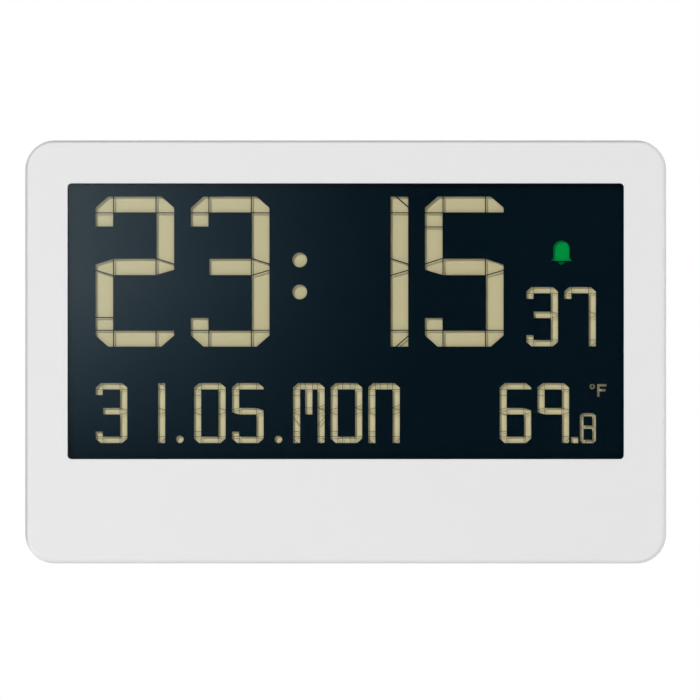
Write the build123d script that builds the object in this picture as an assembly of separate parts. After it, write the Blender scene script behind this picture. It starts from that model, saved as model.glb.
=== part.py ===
from build123d import *
from math import cos, hypot, radians, sin, sqrt
import os

# A digital wall clock with a folding table stand. Millimetres. Seen from the front, X runs to the
# right, Z up and Y back to the wall, which is the plane Y = 0. Values called share are shares of the
# size that they follow.

# Case
CASE_WIDTH = 260.0
CASE_HEIGHT = 171.6
CASE_DEPTH = 28.0
CASE_CORNER = 12.0
FRONT_EDGE = 2.0
REAR_EDGE = 2.0
SIDE_WALL = 2.2
FRONT_WALL = 2.0
REAR_WALL = 2.2
REAR_DEPTH = 9.0
SEAM_STEP = 0.8
LIP_HEIGHT = 2.0
LIP_THICKNESS = 0.9
FIT_GAP = 0.15
OVERRUN = 1.0

# Screw bosses of the case and posts of the display holder
BOSS_RADIUS = 3.4
BOSS_ROOM = 1.45
CORNER_BOSS_INSET = 8.0
CHIN_BOSS_ROOM = 2.2
BOSS_DROP = 0.5
POST_RADIUS = 3.0
POST_ROOM = 1.75
POST_SPREAD_SHARE = 0.27
SCREW_CLEARANCE = 0.05
CASE_SCREW_RADIUS = 1.25
CASE_SCREW_LENGTH = 13.0
CASE_HEAD_RADIUS = 2.4
CASE_HEAD_HEIGHT = 1.8
HEAD_ROOM = 0.3
HEAD_SINK = 3.6
SMALL_SCREW_RADIUS = 1.0
SMALL_HEAD_RADIUS = 1.9
SMALL_HEAD_HEIGHT = 1.3
SMALL_SCREW_BITE = 2.2
HOLDER_SCREW_BITE = 5.0
HOLE_REST = 0.3
RECESS_WIDTH_SHARE = 0.28
RECESS_LENGTH_SHARE = 1.3
RECESS_DEPTH_SHARE = 0.6

# Window and the display stack behind it, front to back
WINDOW_CORNER = 1.6
WINDOW_EDGE = 0.2
LENS_REBATE = 0.8
TAPE_THICKNESS = 0.2
TAPE_SHOW = 0.35
LENS_THICKNESS = 1.5
GASKET_THICKNESS = 0.3
GASKET_WIDTH = 2.4
LCD_LAP = 3.0
LCD_CORNER = 1.0
LCD_FRONT_THICKNESS = 0.25
LCD_CELL_DEPTH = 1.0
LCD_REAR_THICKNESS = 1.1
SEAL_WIDTH = 1.2
GLASS_LEDGE = 2.6
HOLDER_GAP = 0.3
HOLDER_RIM = 2.26
HOLDER_WEB = 3.0
EAR_HEIGHT = 8.0
EAR_THICKNESS = 3.0
ZEBRA_WIDTH = 1.8
ZEBRA_LENGTH_SHARE = 0.62
ZEBRA_ROOM = 0.2
PCB_THICKNESS = 1.6
PCB_WIDTH_SHARE = 0.735
PCB_SHIFT_SHARE = 0.043
PCB_MARGIN = 0.6
PCB_CORNER = 1.5
PCB_SCREW_SHARES = ((-0.46, 0.42), (0, 0.42), (0.46, 0.42), (-0.46, -0.42), (0, -0.42), (0.46, -0.42))

# What the display shows. Rows: text, left, pitch, top, width and height of a figure, as shares of the
# window from its top left corner
ROW_SHARES = (
    ("23", 0.0497, 0.17155, 0.0473, 0.1413, 0.5444),
    ("15", 0.4711, 0.17155, 0.0473, 0.1413, 0.5444),
    ("37", 0.8252, 0.0682, 0.3756, 0.0567, 0.2153),
    ("31", 0.0500, 0.0682, 0.7244, 0.0567, 0.2175),
    ("05", 0.2270, 0.0684, 0.7244, 0.0567, 0.2175),
    ("MON", 0.4052, 0.0676, 0.7244, 0.0567, 0.2175),
    ("69", 0.7770, 0.0682, 0.7244, 0.0567, 0.2175),
    ("8", 0.9215, 0.0286, 0.8335, 0.0286, 0.1087),
)
# Round dots: across, down and radius, the radius as a share of the window's height
DOT_SHARES = (
    (0.4171, 0.2771, 0.0267),
    (0.4171, 0.3935, 0.0267),
    (0.2013, 0.9284, 0.0136),
    (0.3789, 0.9284, 0.0136),
)
POINT_SHARES = (0.9055, 0.9200, 0.0130, 0.0222)
DEGREE_SHARES = (0.9437, 0.7371, 0.0098, 0.0042)
UNIT_SHARES = (0.9525, 0.7280, 0.0168, 0.0462)
UNIT_STROKE_SHARE = 0.18
UNIT_ARM_SHARES = (0.475, 0.92)
TIE_SHARE = 0.14
BELL_SHARES = (0.8880, 0.2073)
BELL_HEIGHT_SHARE = 0.0735
BELL_BODY_SHARE = 0.401
BELL_BRIM_SHARES = (0.515, 0.139)
BELL_CLAPPER_SHARES = (0.145, 0.125, 0.055)
FILTER_SHARE = 1.55
FILTER_DROP_SHARE = 0.42
FILTER_THICKNESS = 0.15

# Shape of one figure, as shares of its width or height
GAP_SHARE = 0.0068
STROKE_SHARE = 0.233
BAR_SHARE = 0.111
CUT_WIDTH_SHARE = 0.163
CUT_HEIGHT_SHARE = 0.0755
MID_SHARES = (0.4736, 0.5878)
TIP_SHARES = (0.5097, 0.5491)
STUB_SHARES = (0.1957, 0.7956)
CENTRE_SHARES = (0.382, 0.618)
SPLIT_SHARE = 0.634
DIAGONAL_SHARES = (0.441, 0.274)
GLYPHS = {
    "0": "ctl bt ctr sul vul wl vll sll cbl bb cbr vlr wr vur",
    "1": "ctr ftr vur wr vlr cbr fbr",
    "2": "ctl bt ctr sul vur wl bm wr vll sll cbl bb cbr",
    "3": "ctl bt ctr sul vur bm wr vlr sll cbl bb cbr",
    "5": "ctl bt ctr sul vul wl bm wr vlr sll cbl bb cbr",
    "6": "ctl bt ctr sul vul wl bm wr vll sll vlr cbl bb cbr",
    "7": "ctl bt ctr sul vur wr vlr cbr fbr",
    "8": "ctl bt ctr sul vul vur wl bm wr vll sll vlr cbl bb cbr",
    "9": "ctl bt ctr sul vul vur wl bm wr vlr cbr fbr",
    "M": "ctl bt1 bt2 bt3 ctr sul vul wl vll1 vll2 sll cbl fbl vuc bmc vur1 vur2 wr vlr1 vlr2 cbr fbr",
    "N": "ctl bt1 bt2 bt3 ctr sul vul wl vll sll cbl fbl vur1 vur2 wr vlr cbr fbr",
    "O": "ctl bt1 bt2 bt3 ctr sul vul wl vll sll cbl bb1 bb2 bb3 cbr vlr wr vur1 vur2",
}

# Keyhole in the rear cover
KEY_FROM_TOP = 34.0
KEY_HEAD_RADIUS = 5.0
KEY_SLOT_WIDTH = 5.0
KEY_SLOT_RISE = 8.0
KEY_BOX_DEPTH = 6.0
KEY_BOX_ROOM = 2.5
BOX_WALL = 1.5

# Folding stand
STAND_WIDTH_SHARE = 0.14
STAND_LENGTH = 84.0
STAND_THICKNESS = 3.0
STAND_CORNER = 8.0
STAND_SET = 0.5
STAND_GAP = 0.5
STAND_OPEN_ANGLE = 40.0
STAND_FOOT_RISE = 5.8
STAND_BARREL_RADIUS = 2.6
STAND_PIN_RADIUS = 1.25
STAND_PIN_PLAY = 0.05
STOP_GAP = 0.05
TROUGH_WALL = 1.6
LUG_THICKNESS = 5.0
PANEL_BORDER = 7.0
PANEL_SINK = 0.8
NOTCH_HEIGHT = 18.0
NOTCH_REACH = 7.5
NOTCH_UNDER = 3.0
NOTCH_DEPTH = 6.0
NOTCH_DROP_SHARE = 0.77
NOTCH_CORNER = 2.0

# Batteries, their tub and its door
CELL_RADIUS = 7.15
CELL_LENGTH = 48.6
CELL_EDGE = 0.8
NUB_RADIUS = 2.75
NUB_LENGTH = 1.5
CELL_ROOM = 0.3
CONTACT_THICKNESS = 0.4
CONTACT_SHARE = 0.8
LEAF_RISE = 4.6
LEAF_WIDTH_SHARE = 0.45
TAIL_WIDTH = 3.0
TAIL_OUT = 2.0
TAIL_ROOM = 0.2
TUB_WALL = 1.5
TUB_TOP_GAP = 0.6
TUB_BOTTOM_GAP = 1.5
DOOR_SET = 0.3
DOOR_THICKNESS = 1.8
DOOR_REST = 0.2
DOOR_GAP = 0.35
DOOR_OVERLAP = 0.9
DOOR_TAB = 2.0
DOOR_BARREL_RADIUS = 1.9
DOOR_PIN_RADIUS = 1.0
DOOR_PIN_LENGTH = 2.0
DOOR_PIN_PLAY = 0.08
COLLAR_WALL = 2.6
COLLAR_ROOM = 0.8
COLLAR_DEPTH = 2.0
GRIP_HEIGHT = 14.0
GRIP_REACH = 7.5
GRIP_DEPTH = 5.5
RIDGE_COUNT = 4
RIDGE_WIDTH = 0.8
RIDGE_PITCH = 2.0
RIDGE_SINK = 0.4
RIDGE_INSET = 3.0

# Controls on the back
PANEL_X_SHARE = -0.208
PANEL_Z_SHARE = 0.2
PANEL_WIDTH = 68.0
PANEL_HEIGHT = 36.0
PANEL_CORNER = 4.0
PANEL_DEPTH = 1.6
PANEL_WALL = 1.8
BUTTON_NAMES = ("set", "alarm", "plus", "minus", "units")
BUTTON_PITCH = 12.4
BUTTON_ROW_RISE = 8.0
BUTTON_WIDTH = 8.6
BUTTON_HEIGHT = 5.4
BUTTON_EDGE = 0.5
BUTTON_SET = 0.4
BUTTON_GAP = 0.2
FLANGE_EXTRA = 1.0
FLANGE_THICKNESS = 1.0
FLANGE_GAP = 0.1
STEM_RADIUS = 1.5
SWITCH_SIZE = 6.0
SWITCH_HEIGHT = 3.6
SWITCH_BORE_DEPTH = 2.4
PLUNGER_RADIUS = 1.7
PLUNGER_PLAY = 0.08
PLUNGER_DEPTH = 1.5
PLUNGER_RISE = 1.4
SLIDER_ROW_DROP = 8.0
SLIDER_OFFSET = -20.0
SLIDER_TRAVEL = 3.0
SLIDER_WIDTH = 5.0
SLIDER_HEIGHT = 4.0
SLIDER_FLANGE = 2.5
SLIDER_RIDGES = 3
SLIDE_BODY_WIDTH = 9.0
SLIDE_BODY_HEIGHT = 4.4
SLIDE_BODY_DEPTH = 3.6
ACTUATOR_SIZE = 2.0
ACTUATOR_DEPTH = 1.2
ACTUATOR_RISE = 3.0
RESET_OFFSET = 16.0
RESET_HOLE_RADIUS = 1.0

# Sound, temperature and the small parts on the board
BUZZER_X_SHARE = -0.277
BUZZER_Z_SHARE = -0.338
BUZZER_RADIUS = 13.5
BUZZER_THICKNESS = 0.4
CERAMIC_RADIUS = 10.0
CERAMIC_THICKNESS = 0.3
CHAMBER_DEPTH = 2.4
CHAMBER_WALL = 1.6
CHAMBER_LEDGE = 1.2
SOUND_HOLE_RADIUS = 1.1
SOUND_HOLE_SHARE = 0.42
SOUND_HOLE_COUNT = 6
VENT_X_SHARE = -0.405
VENT_Z_SHARE = -0.06
VENT_WIDTH = 12.0
VENT_HEIGHT = 1.4
VENT_PITCH = 4.2
VENT_COUNT = 6
BEAD_RADIUS = 1.5
BEAD_TURN = 180
SENSOR_LEAD_RADIUS = 0.25
SENSOR_LEAD_PITCH = 1.6
SENSOR_LEAD_RISE = 3.0
SENSOR_REACH = 6.0
SENSOR_ROOT = 3.0
SENSOR_BEND = 1.0
CHIP_SHARES = (0.2, 0.12)
CHIP_RADIUS = 7.5
CHIP_HEIGHT = 1.8
CHIP_EDGE = 1.2
CRYSTAL_SHARES = (0.3, 0.12)
CRYSTAL_RADIUS = 1.0
CRYSTAL_LENGTH = 6.0
FILTER_CAP_SHARES = (0.34, -0.08)
FILTER_CAP_RADIUS = 2.5
FILTER_CAP_HEIGHT = 5.4
CHIP_CAP_SHARES = ((0.1, -0.06), (0.14, -0.06), (0.18, -0.06), (0.22, -0.06), (0.1, 0.3), (0.14, 0.3))
CHIP_CAP_WIDTH = 2.0
CHIP_CAP_HEIGHT = 1.3
CHIP_CAP_DEPTH = 0.9
LEAD_RADIUS = 0.65
LEAD_BEND = 2.2
LEAD_OUT = 4.0
LEAD_STEP = 2.4
PAD_RISE = 6.0
BUZZER_LEAD_SHARE = 0.55
BUZZER_LEAD_PITCH = 4.0
BUZZER_LEAD_RUN = 4.5

# Worked out from the sizes above
BOSS_ZONE = BOSS_RADIUS * 2 + BOSS_ROOM * 2
POST_ZONE = POST_RADIUS * 2 + POST_ROOM * 2
DISPLAY_EDGE = LCD_LAP + HOLDER_GAP + HOLDER_RIM
TUB_INNER_HEIGHT = CELL_RADIUS * 4 + CELL_ROOM * 3
TUB_INNER_LENGTH = CELL_LENGTH + NUB_LENGTH + LEAF_RISE + CONTACT_THICKNESS * 2
TUB_HEIGHT = TUB_INNER_HEIGHT + TUB_WALL * 2
SIDE_MARGIN = DISPLAY_EDGE + POST_ZONE + SIDE_WALL
TOP_MARGIN = DISPLAY_EDGE + BOSS_ZONE + SIDE_WALL
CHIN = DISPLAY_EDGE + TUB_TOP_GAP + TUB_HEIGHT + TUB_BOTTOM_GAP + SIDE_WALL
WINDOW_WIDTH = CASE_WIDTH - SIDE_MARGIN * 2
WINDOW_HEIGHT = CASE_HEIGHT - TOP_MARGIN - CHIN
WINDOW_Z = (CHIN - TOP_MARGIN) / 2
LCD_WIDTH = WINDOW_WIDTH + LCD_LAP * 2
LCD_HEIGHT = WINDOW_HEIGHT + LCD_LAP * 2
HOLDER_WIDTH = LCD_WIDTH + HOLDER_GAP * 2 + HOLDER_RIM * 2
HOLDER_HEIGHT = LCD_HEIGHT + HOLDER_GAP * 2 + HOLDER_RIM * 2
CASE_BOTTOM = -CASE_HEIGHT / 2
KEY_Z = CASE_HEIGHT / 2 - KEY_FROM_TOP

FRONT_Y = -CASE_DEPTH
BEZEL_BACK = FRONT_Y + FRONT_WALL
PARTING_Y = -REAR_DEPTH
BOSS_TOP = PARTING_Y - LIP_HEIGHT - BOSS_DROP
TAPE_FRONT = BEZEL_BACK - LENS_REBATE
LENS_FRONT = TAPE_FRONT + TAPE_THICKNESS
LENS_BACK = LENS_FRONT + LENS_THICKNESS
LCD_FRONT = LENS_BACK + GASKET_THICKNESS
LCD_FRONT_BACK = LCD_FRONT + LCD_FRONT_THICKNESS
LCD_REAR_FRONT = LCD_FRONT_BACK + LCD_CELL_DEPTH
LCD_REAR_BACK = LCD_REAR_FRONT + LCD_REAR_THICKNESS
PCB_FRONT = LCD_REAR_BACK + HOLDER_WEB
PCB_BACK = PCB_FRONT + PCB_THICKNESS
EAR_FRONT = PCB_FRONT - EAR_THICKNESS

LCD_REAR_HEIGHT = LCD_HEIGHT - GLASS_LEDGE * 2
ZEBRA_RISE = LCD_HEIGHT / 2 - GLASS_LEDGE / 2
ZEBRA_LENGTH = LCD_WIDTH * ZEBRA_LENGTH_SHARE
PCB_WIDTH = LCD_WIDTH * PCB_WIDTH_SHARE
PCB_HEIGHT = ZEBRA_RISE * 2 + ZEBRA_WIDTH + PCB_MARGIN * 2
PCB_X = -LCD_WIDTH * PCB_SHIFT_SHARE
POST_X = CASE_WIDTH / 2 - SIDE_WALL - POST_ZONE / 2
POST_SPREAD = LCD_HEIGHT * POST_SPREAD_SHARE
POST_PLACES = [(x, WINDOW_Z + z) for x in (-POST_X, POST_X) for z in (-POST_SPREAD, POST_SPREAD)]

STAND_WIDTH = CASE_WIDTH * STAND_WIDTH_SHARE
STAND_HINGE_Z = CASE_BOTTOM + STAND_FOOT_RISE + STAND_LENGTH
STAND_HINGE_Y = -STAND_SET - STAND_BARREL_RADIUS
STAND_BACK = -STAND_SET - STAND_THICKNESS
STAND_FLOOR = STAND_BACK - STAND_GAP
HINGE_FLOOR = STAND_HINGE_Y - STAND_BARREL_RADIUS - STAND_GAP
STAND_SWING = radians(STAND_OPEN_ANGLE)
HEEL_DROP = STAND_HINGE_Y + (STAND_BACK - STAND_HINGE_Y) * cos(STAND_SWING) - HINGE_FLOOR - STOP_GAP
HEEL_RISE = HEEL_DROP / sin(STAND_SWING)
HEEL_SWEEP = hypot(HEEL_RISE, STAND_BARREL_RADIUS)
TROUGH_TOP = STAND_HINGE_Z + HEEL_SWEEP + STAND_GAP
TROUGH_BOTTOM = STAND_HINGE_Z - STAND_LENGTH - STAND_GAP
TROUGH_WIDTH = STAND_WIDTH + STAND_GAP * 2
LUG_X = TROUGH_WIDTH / 2 + LUG_THICKNESS / 2
NOTCH_Z = STAND_HINGE_Z - STAND_LENGTH * NOTCH_DROP_SHARE

CORNER_BOSS_X = CASE_WIDTH / 2 - SIDE_WALL - CORNER_BOSS_INSET
BOSS_Z = CASE_HEIGHT / 2 - SIDE_WALL - BOSS_ZONE / 2
CHIN_BOSS_X = TROUGH_WIDTH / 2 + TROUGH_WALL + CHIN_BOSS_ROOM + BOSS_RADIUS
BOSS_PLACES = [(x, z) for x in (-CORNER_BOSS_X, CORNER_BOSS_X) for z in (-BOSS_Z, BOSS_Z)]
BOSS_PLACES += [(0, BOSS_Z), (-CHIN_BOSS_X, -BOSS_Z), (CHIN_BOSS_X, -BOSS_Z)]
HEAD_SEAT = -HEAD_SINK

COLLAR_RIGHT = CORNER_BOSS_X - BOSS_RADIUS - COLLAR_ROOM
DOOR_HINGE_X = COLLAR_RIGHT - COLLAR_WALL - DOOR_GAP - DOOR_BARREL_RADIUS
TUB_RIGHT = DOOR_HINGE_X - DOOR_BARREL_RADIUS - DOOR_GAP
TUB_INNER_RIGHT = TUB_RIGHT - TUB_WALL
TUB_INNER_LEFT = TUB_INNER_RIGHT - TUB_INNER_LENGTH
TUB_LEFT = TUB_INNER_LEFT - TUB_WALL
TUB_X = (TUB_LEFT + TUB_RIGHT) / 2
TUB_Z = CASE_BOTTOM + SIDE_WALL + TUB_BOTTOM_GAP + TUB_HEIGHT / 2
CELL_OFFSET = CELL_RADIUS + CELL_ROOM / 2
DOOR_BACK = -DOOR_SET - DOOR_THICKNESS
DOOR_LEDGE = DOOR_BACK - DOOR_REST
CELL_Y = DOOR_LEDGE - CELL_RADIUS
TUB_FLOOR = CELL_Y - CELL_RADIUS - CELL_ROOM
DOOR_HINGE_Y = -DOOR_SET - DOOR_BARREL_RADIUS
DOOR_HEIGHT = TUB_INNER_HEIGHT + DOOR_OVERLAP * 2
DOOR_LEFT = TUB_LEFT
GROOVE_FLOOR = DOOR_HINGE_Y - DOOR_BARREL_RADIUS - DOOR_GAP
COLLAR_LEFT = DOOR_LEFT - DOOR_GAP - COLLAR_WALL
COLLAR_HEIGHT = DOOR_HEIGHT + DOOR_GAP * 2 + COLLAR_WALL * 2
COLLAR_FLOOR = GROOVE_FLOOR - COLLAR_DEPTH
CONTACT_SIZE = CELL_RADIUS * 2 * CONTACT_SHARE

PANEL_X = CASE_WIDTH * PANEL_X_SHARE
PANEL_Z = CASE_HEIGHT * PANEL_Z_SHARE
PANEL_FLOOR = -PANEL_DEPTH
PANEL_INSIDE = PANEL_FLOOR - PANEL_WALL
FLANGE_TOP = PANEL_INSIDE - FLANGE_GAP
FLANGE_BOTTOM = FLANGE_TOP - FLANGE_THICKNESS
SWITCH_TOP = PCB_BACK + SWITCH_HEIGHT
PLUNGER_TOP = SWITCH_TOP + PLUNGER_RISE
BUTTON_Z = PANEL_Z + BUTTON_ROW_RISE
LOWER_ROW_Z = PANEL_Z - SLIDER_ROW_DROP
MIDDLE_BUTTON = (len(BUTTON_NAMES) - 1) / 2
BUTTON_PLACES = {
    name: PANEL_X + (index - MIDDLE_BUTTON) * BUTTON_PITCH for index, name in enumerate(BUTTON_NAMES)
}
SLIDER_X = PANEL_X + SLIDER_OFFSET
RESET_X = PANEL_X + RESET_OFFSET
SLIDE_TOP = PCB_BACK + SLIDE_BODY_DEPTH
ACTUATOR_TOP = SLIDE_TOP + ACTUATOR_RISE

BUZZER_X = CASE_WIDTH * BUZZER_X_SHARE
BUZZER_Z = CASE_HEIGHT * BUZZER_Z_SHARE
BUZZER_BACK = -REAR_WALL - CHAMBER_DEPTH
BUZZER_FRONT = BUZZER_BACK - BUZZER_THICKNESS
CERAMIC_FRONT = BUZZER_FRONT - CERAMIC_THICKNESS
PAD_Z = WINDOW_Z - PCB_HEIGHT / 2 + PAD_RISE


def slab(width, height, corner, front, back, x=0, z=0):
    """A plate with rounded corners between two depths."""
    outline = RectangleRounded(width, height, corner) if corner else Rectangle(width, height)
    return extrude(Plane.XZ.offset(-back) * Pos(x, z) * outline, back - front)


def rod(radius, front, back, x=0, z=0):
    """A round bar along Y between two depths."""
    return extrude(Plane.XZ.offset(-back) * Pos(x, z) * Circle(radius), back - front)


def block(left, right, front, back, low, high):
    """A plain block between its six faces."""
    middle = Pos((left + right) / 2, (front + back) / 2, (low + high) / 2)
    return middle * Box(right - left, back - front, high - low)


def frame(outer, inner, corner, front, back, z=0):
    """A flat frame: the outer and the inner size are pairs of width and height."""
    plate = slab(*outer, corner, front, back, 0, z)
    return plate - slab(*inner, corner, front - OVERRUN, back + OVERRUN, 0, z)


def screw(radius, length, head_radius, head_height, seat, x, z):
    """A pan-head screw driven in from the back, with a cross recess."""
    body = rod(head_radius, seat, seat + head_height, x, z) + rod(radius, seat - length, seat, x, z)
    arm = head_radius * RECESS_LENGTH_SHARE
    slot = head_radius * RECESS_WIDTH_SHARE
    floor = seat + head_height * (1 - RECESS_DEPTH_SHARE)
    for width, height in ((arm, slot), (slot, arm)):
        body -= slab(width, height, 0, floor, seat + head_height + OVERRUN, x, z)
    return body


def wire_tube(points, radius, bend):
    """A lead along straight runs joined by arcs."""
    path = FilletPolyline(*points, radius=bend)
    section = Plane(origin=path @ 0, z_dir=path % 0) * Circle(radius)
    return sweep(section, path)


def front_housing():
    shell = slab(CASE_WIDTH, CASE_HEIGHT, CASE_CORNER, FRONT_Y, PARTING_Y)
    shell = fillet(shell.faces().sort_by(Axis.Y)[0].edges(), FRONT_EDGE)
    inner_width = CASE_WIDTH - SIDE_WALL * 2
    inner_height = CASE_HEIGHT - SIDE_WALL * 2
    shell -= slab(inner_width, inner_height, CASE_CORNER - SIDE_WALL, BEZEL_BACK, PARTING_Y + OVERRUN)
    rebate = LIP_THICKNESS + FIT_GAP
    shell -= slab(
        inner_width + rebate * 2,
        inner_height + rebate * 2,
        CASE_CORNER - SIDE_WALL + rebate,
        PARTING_Y - LIP_HEIGHT - FIT_GAP,
        PARTING_Y + OVERRUN,
    )
    shell -= slab(
        WINDOW_WIDTH, WINDOW_HEIGHT, WINDOW_CORNER, FRONT_Y - OVERRUN, BEZEL_BACK + OVERRUN, 0, WINDOW_Z
    )
    shell = fillet(shell.faces().sort_by(Axis.Y)[0].inner_wires()[0].edges(), WINDOW_EDGE)
    shell -= slab(
        LCD_WIDTH + HOLDER_GAP * 2,
        LCD_HEIGHT + HOLDER_GAP * 2,
        LCD_CORNER,
        TAPE_FRONT,
        BEZEL_BACK + OVERRUN,
        0,
        WINDOW_Z,
    )
    for x, z in BOSS_PLACES:
        shell += rod(BOSS_RADIUS, BEZEL_BACK, BOSS_TOP, x, z)
        tip = HEAD_SEAT - CASE_SCREW_LENGTH - HOLE_REST
        shell -= rod(CASE_SCREW_RADIUS + SCREW_CLEARANCE, tip, BOSS_TOP + OVERRUN, x, z)
    for x, z in POST_PLACES:
        shell += rod(POST_RADIUS, BEZEL_BACK, EAR_FRONT, x, z)
        tip = EAR_FRONT - HOLDER_SCREW_BITE - HOLE_REST
        bore = SMALL_SCREW_RADIUS + SCREW_CLEARANCE
        shell -= rod(bore, max(tip, BEZEL_BACK), EAR_FRONT + OVERRUN, x, z)
    return shell


def cover_shell():
    """The plain rear shell with its lip and screw tubes."""
    width = CASE_WIDTH - SEAM_STEP * 2
    height = CASE_HEIGHT - SEAM_STEP * 2
    corner = CASE_CORNER - SEAM_STEP
    shell = slab(width, height, corner, PARTING_Y, 0)
    shell = fillet(shell.faces().sort_by(Axis.Y)[-1].edges(), REAR_EDGE)
    shell -= slab(
        width - SIDE_WALL * 2,
        height - SIDE_WALL * 2,
        corner - SIDE_WALL,
        PARTING_Y - OVERRUN,
        -REAR_WALL,
    )
    lip_inner = (CASE_WIDTH - SIDE_WALL * 2, CASE_HEIGHT - SIDE_WALL * 2)
    lip_outer = [side + LIP_THICKNESS * 2 for side in lip_inner]
    lip = slab(*lip_outer, CASE_CORNER - SIDE_WALL + LIP_THICKNESS, PARTING_Y - LIP_HEIGHT, PARTING_Y)
    lip -= slab(
        *lip_inner, CASE_CORNER - SIDE_WALL, PARTING_Y - LIP_HEIGHT - OVERRUN, PARTING_Y + OVERRUN
    )
    shell += lip
    for x, z in BOSS_PLACES:
        shell += rod(BOSS_RADIUS, BOSS_TOP, -REAR_WALL, x, z)
    return shell


def cover_blocks():
    """What stands on the inside of the rear cover, before its pockets are cut."""
    trough_floor = STAND_FLOOR - TROUGH_WALL
    half = TROUGH_WIDTH / 2 + TROUGH_WALL
    blocks = [
        block(-half, half, trough_floor, -REAR_WALL, TROUGH_BOTTOM - TROUGH_WALL, TROUGH_TOP + TROUGH_WALL),
        block(
            -LUG_X - LUG_THICKNESS / 2,
            LUG_X + LUG_THICKNESS / 2,
            HINGE_FLOOR - TROUGH_WALL,
            -REAR_WALL,
            STAND_HINGE_Z - STAND_BARREL_RADIUS - STAND_GAP - TROUGH_WALL,
            TROUGH_TOP + TROUGH_WALL,
        ),
        slab(
            NOTCH_REACH + NOTCH_UNDER + TROUGH_WALL * 2,
            NOTCH_HEIGHT + TROUGH_WALL * 2,
            NOTCH_CORNER,
            -NOTCH_DEPTH - TROUGH_WALL,
            -REAR_WALL,
            (NOTCH_UNDER - NOTCH_REACH - TROUGH_WIDTH) / 2,
            NOTCH_Z,
        ),
        block(
            TUB_LEFT,
            TUB_RIGHT,
            TUB_FLOOR - TUB_WALL,
            -REAR_WALL,
            TUB_Z - TUB_HEIGHT / 2,
            TUB_Z + TUB_HEIGHT / 2,
        ),
        block(
            COLLAR_LEFT,
            COLLAR_RIGHT,
            COLLAR_FLOOR,
            -REAR_WALL,
            TUB_Z - COLLAR_HEIGHT / 2 + COLLAR_WALL,
            TUB_Z + COLLAR_HEIGHT / 2,
        ),
        block(
            DOOR_HINGE_X - DOOR_BARREL_RADIUS - DOOR_GAP,
            COLLAR_RIGHT,
            COLLAR_FLOOR,
            -REAR_WALL,
            TUB_Z - COLLAR_HEIGHT / 2,
            TUB_Z,
        ),
        block(
            TUB_LEFT - GRIP_REACH - TUB_WALL,
            TUB_LEFT,
            -GRIP_DEPTH - TUB_WALL,
            -REAR_WALL,
            TUB_Z - GRIP_HEIGHT / 2 - TUB_WALL,
            TUB_Z + GRIP_HEIGHT / 2 + TUB_WALL,
        ),
        slab(
            PANEL_WIDTH + PANEL_WALL * 2,
            PANEL_HEIGHT + PANEL_WALL * 2,
            PANEL_CORNER,
            PANEL_INSIDE,
            -REAR_WALL,
            PANEL_X,
            PANEL_Z,
        ),
        rod(BUZZER_RADIUS + FIT_GAP + CHAMBER_WALL, BUZZER_FRONT, -REAR_WALL, BUZZER_X, BUZZER_Z),
    ]
    return blocks + [key_box(BOX_WALL, -REAR_WALL - KEY_BOX_DEPTH - BOX_WALL)]


def key_box(extra, front):
    """The box behind the keyhole, in which the head of the wall screw rides up."""
    half = KEY_HEAD_RADIUS + KEY_BOX_ROOM + extra
    return block(-half, half, front, -REAR_WALL, KEY_Z - half, KEY_Z + KEY_SLOT_RISE + half)


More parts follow.
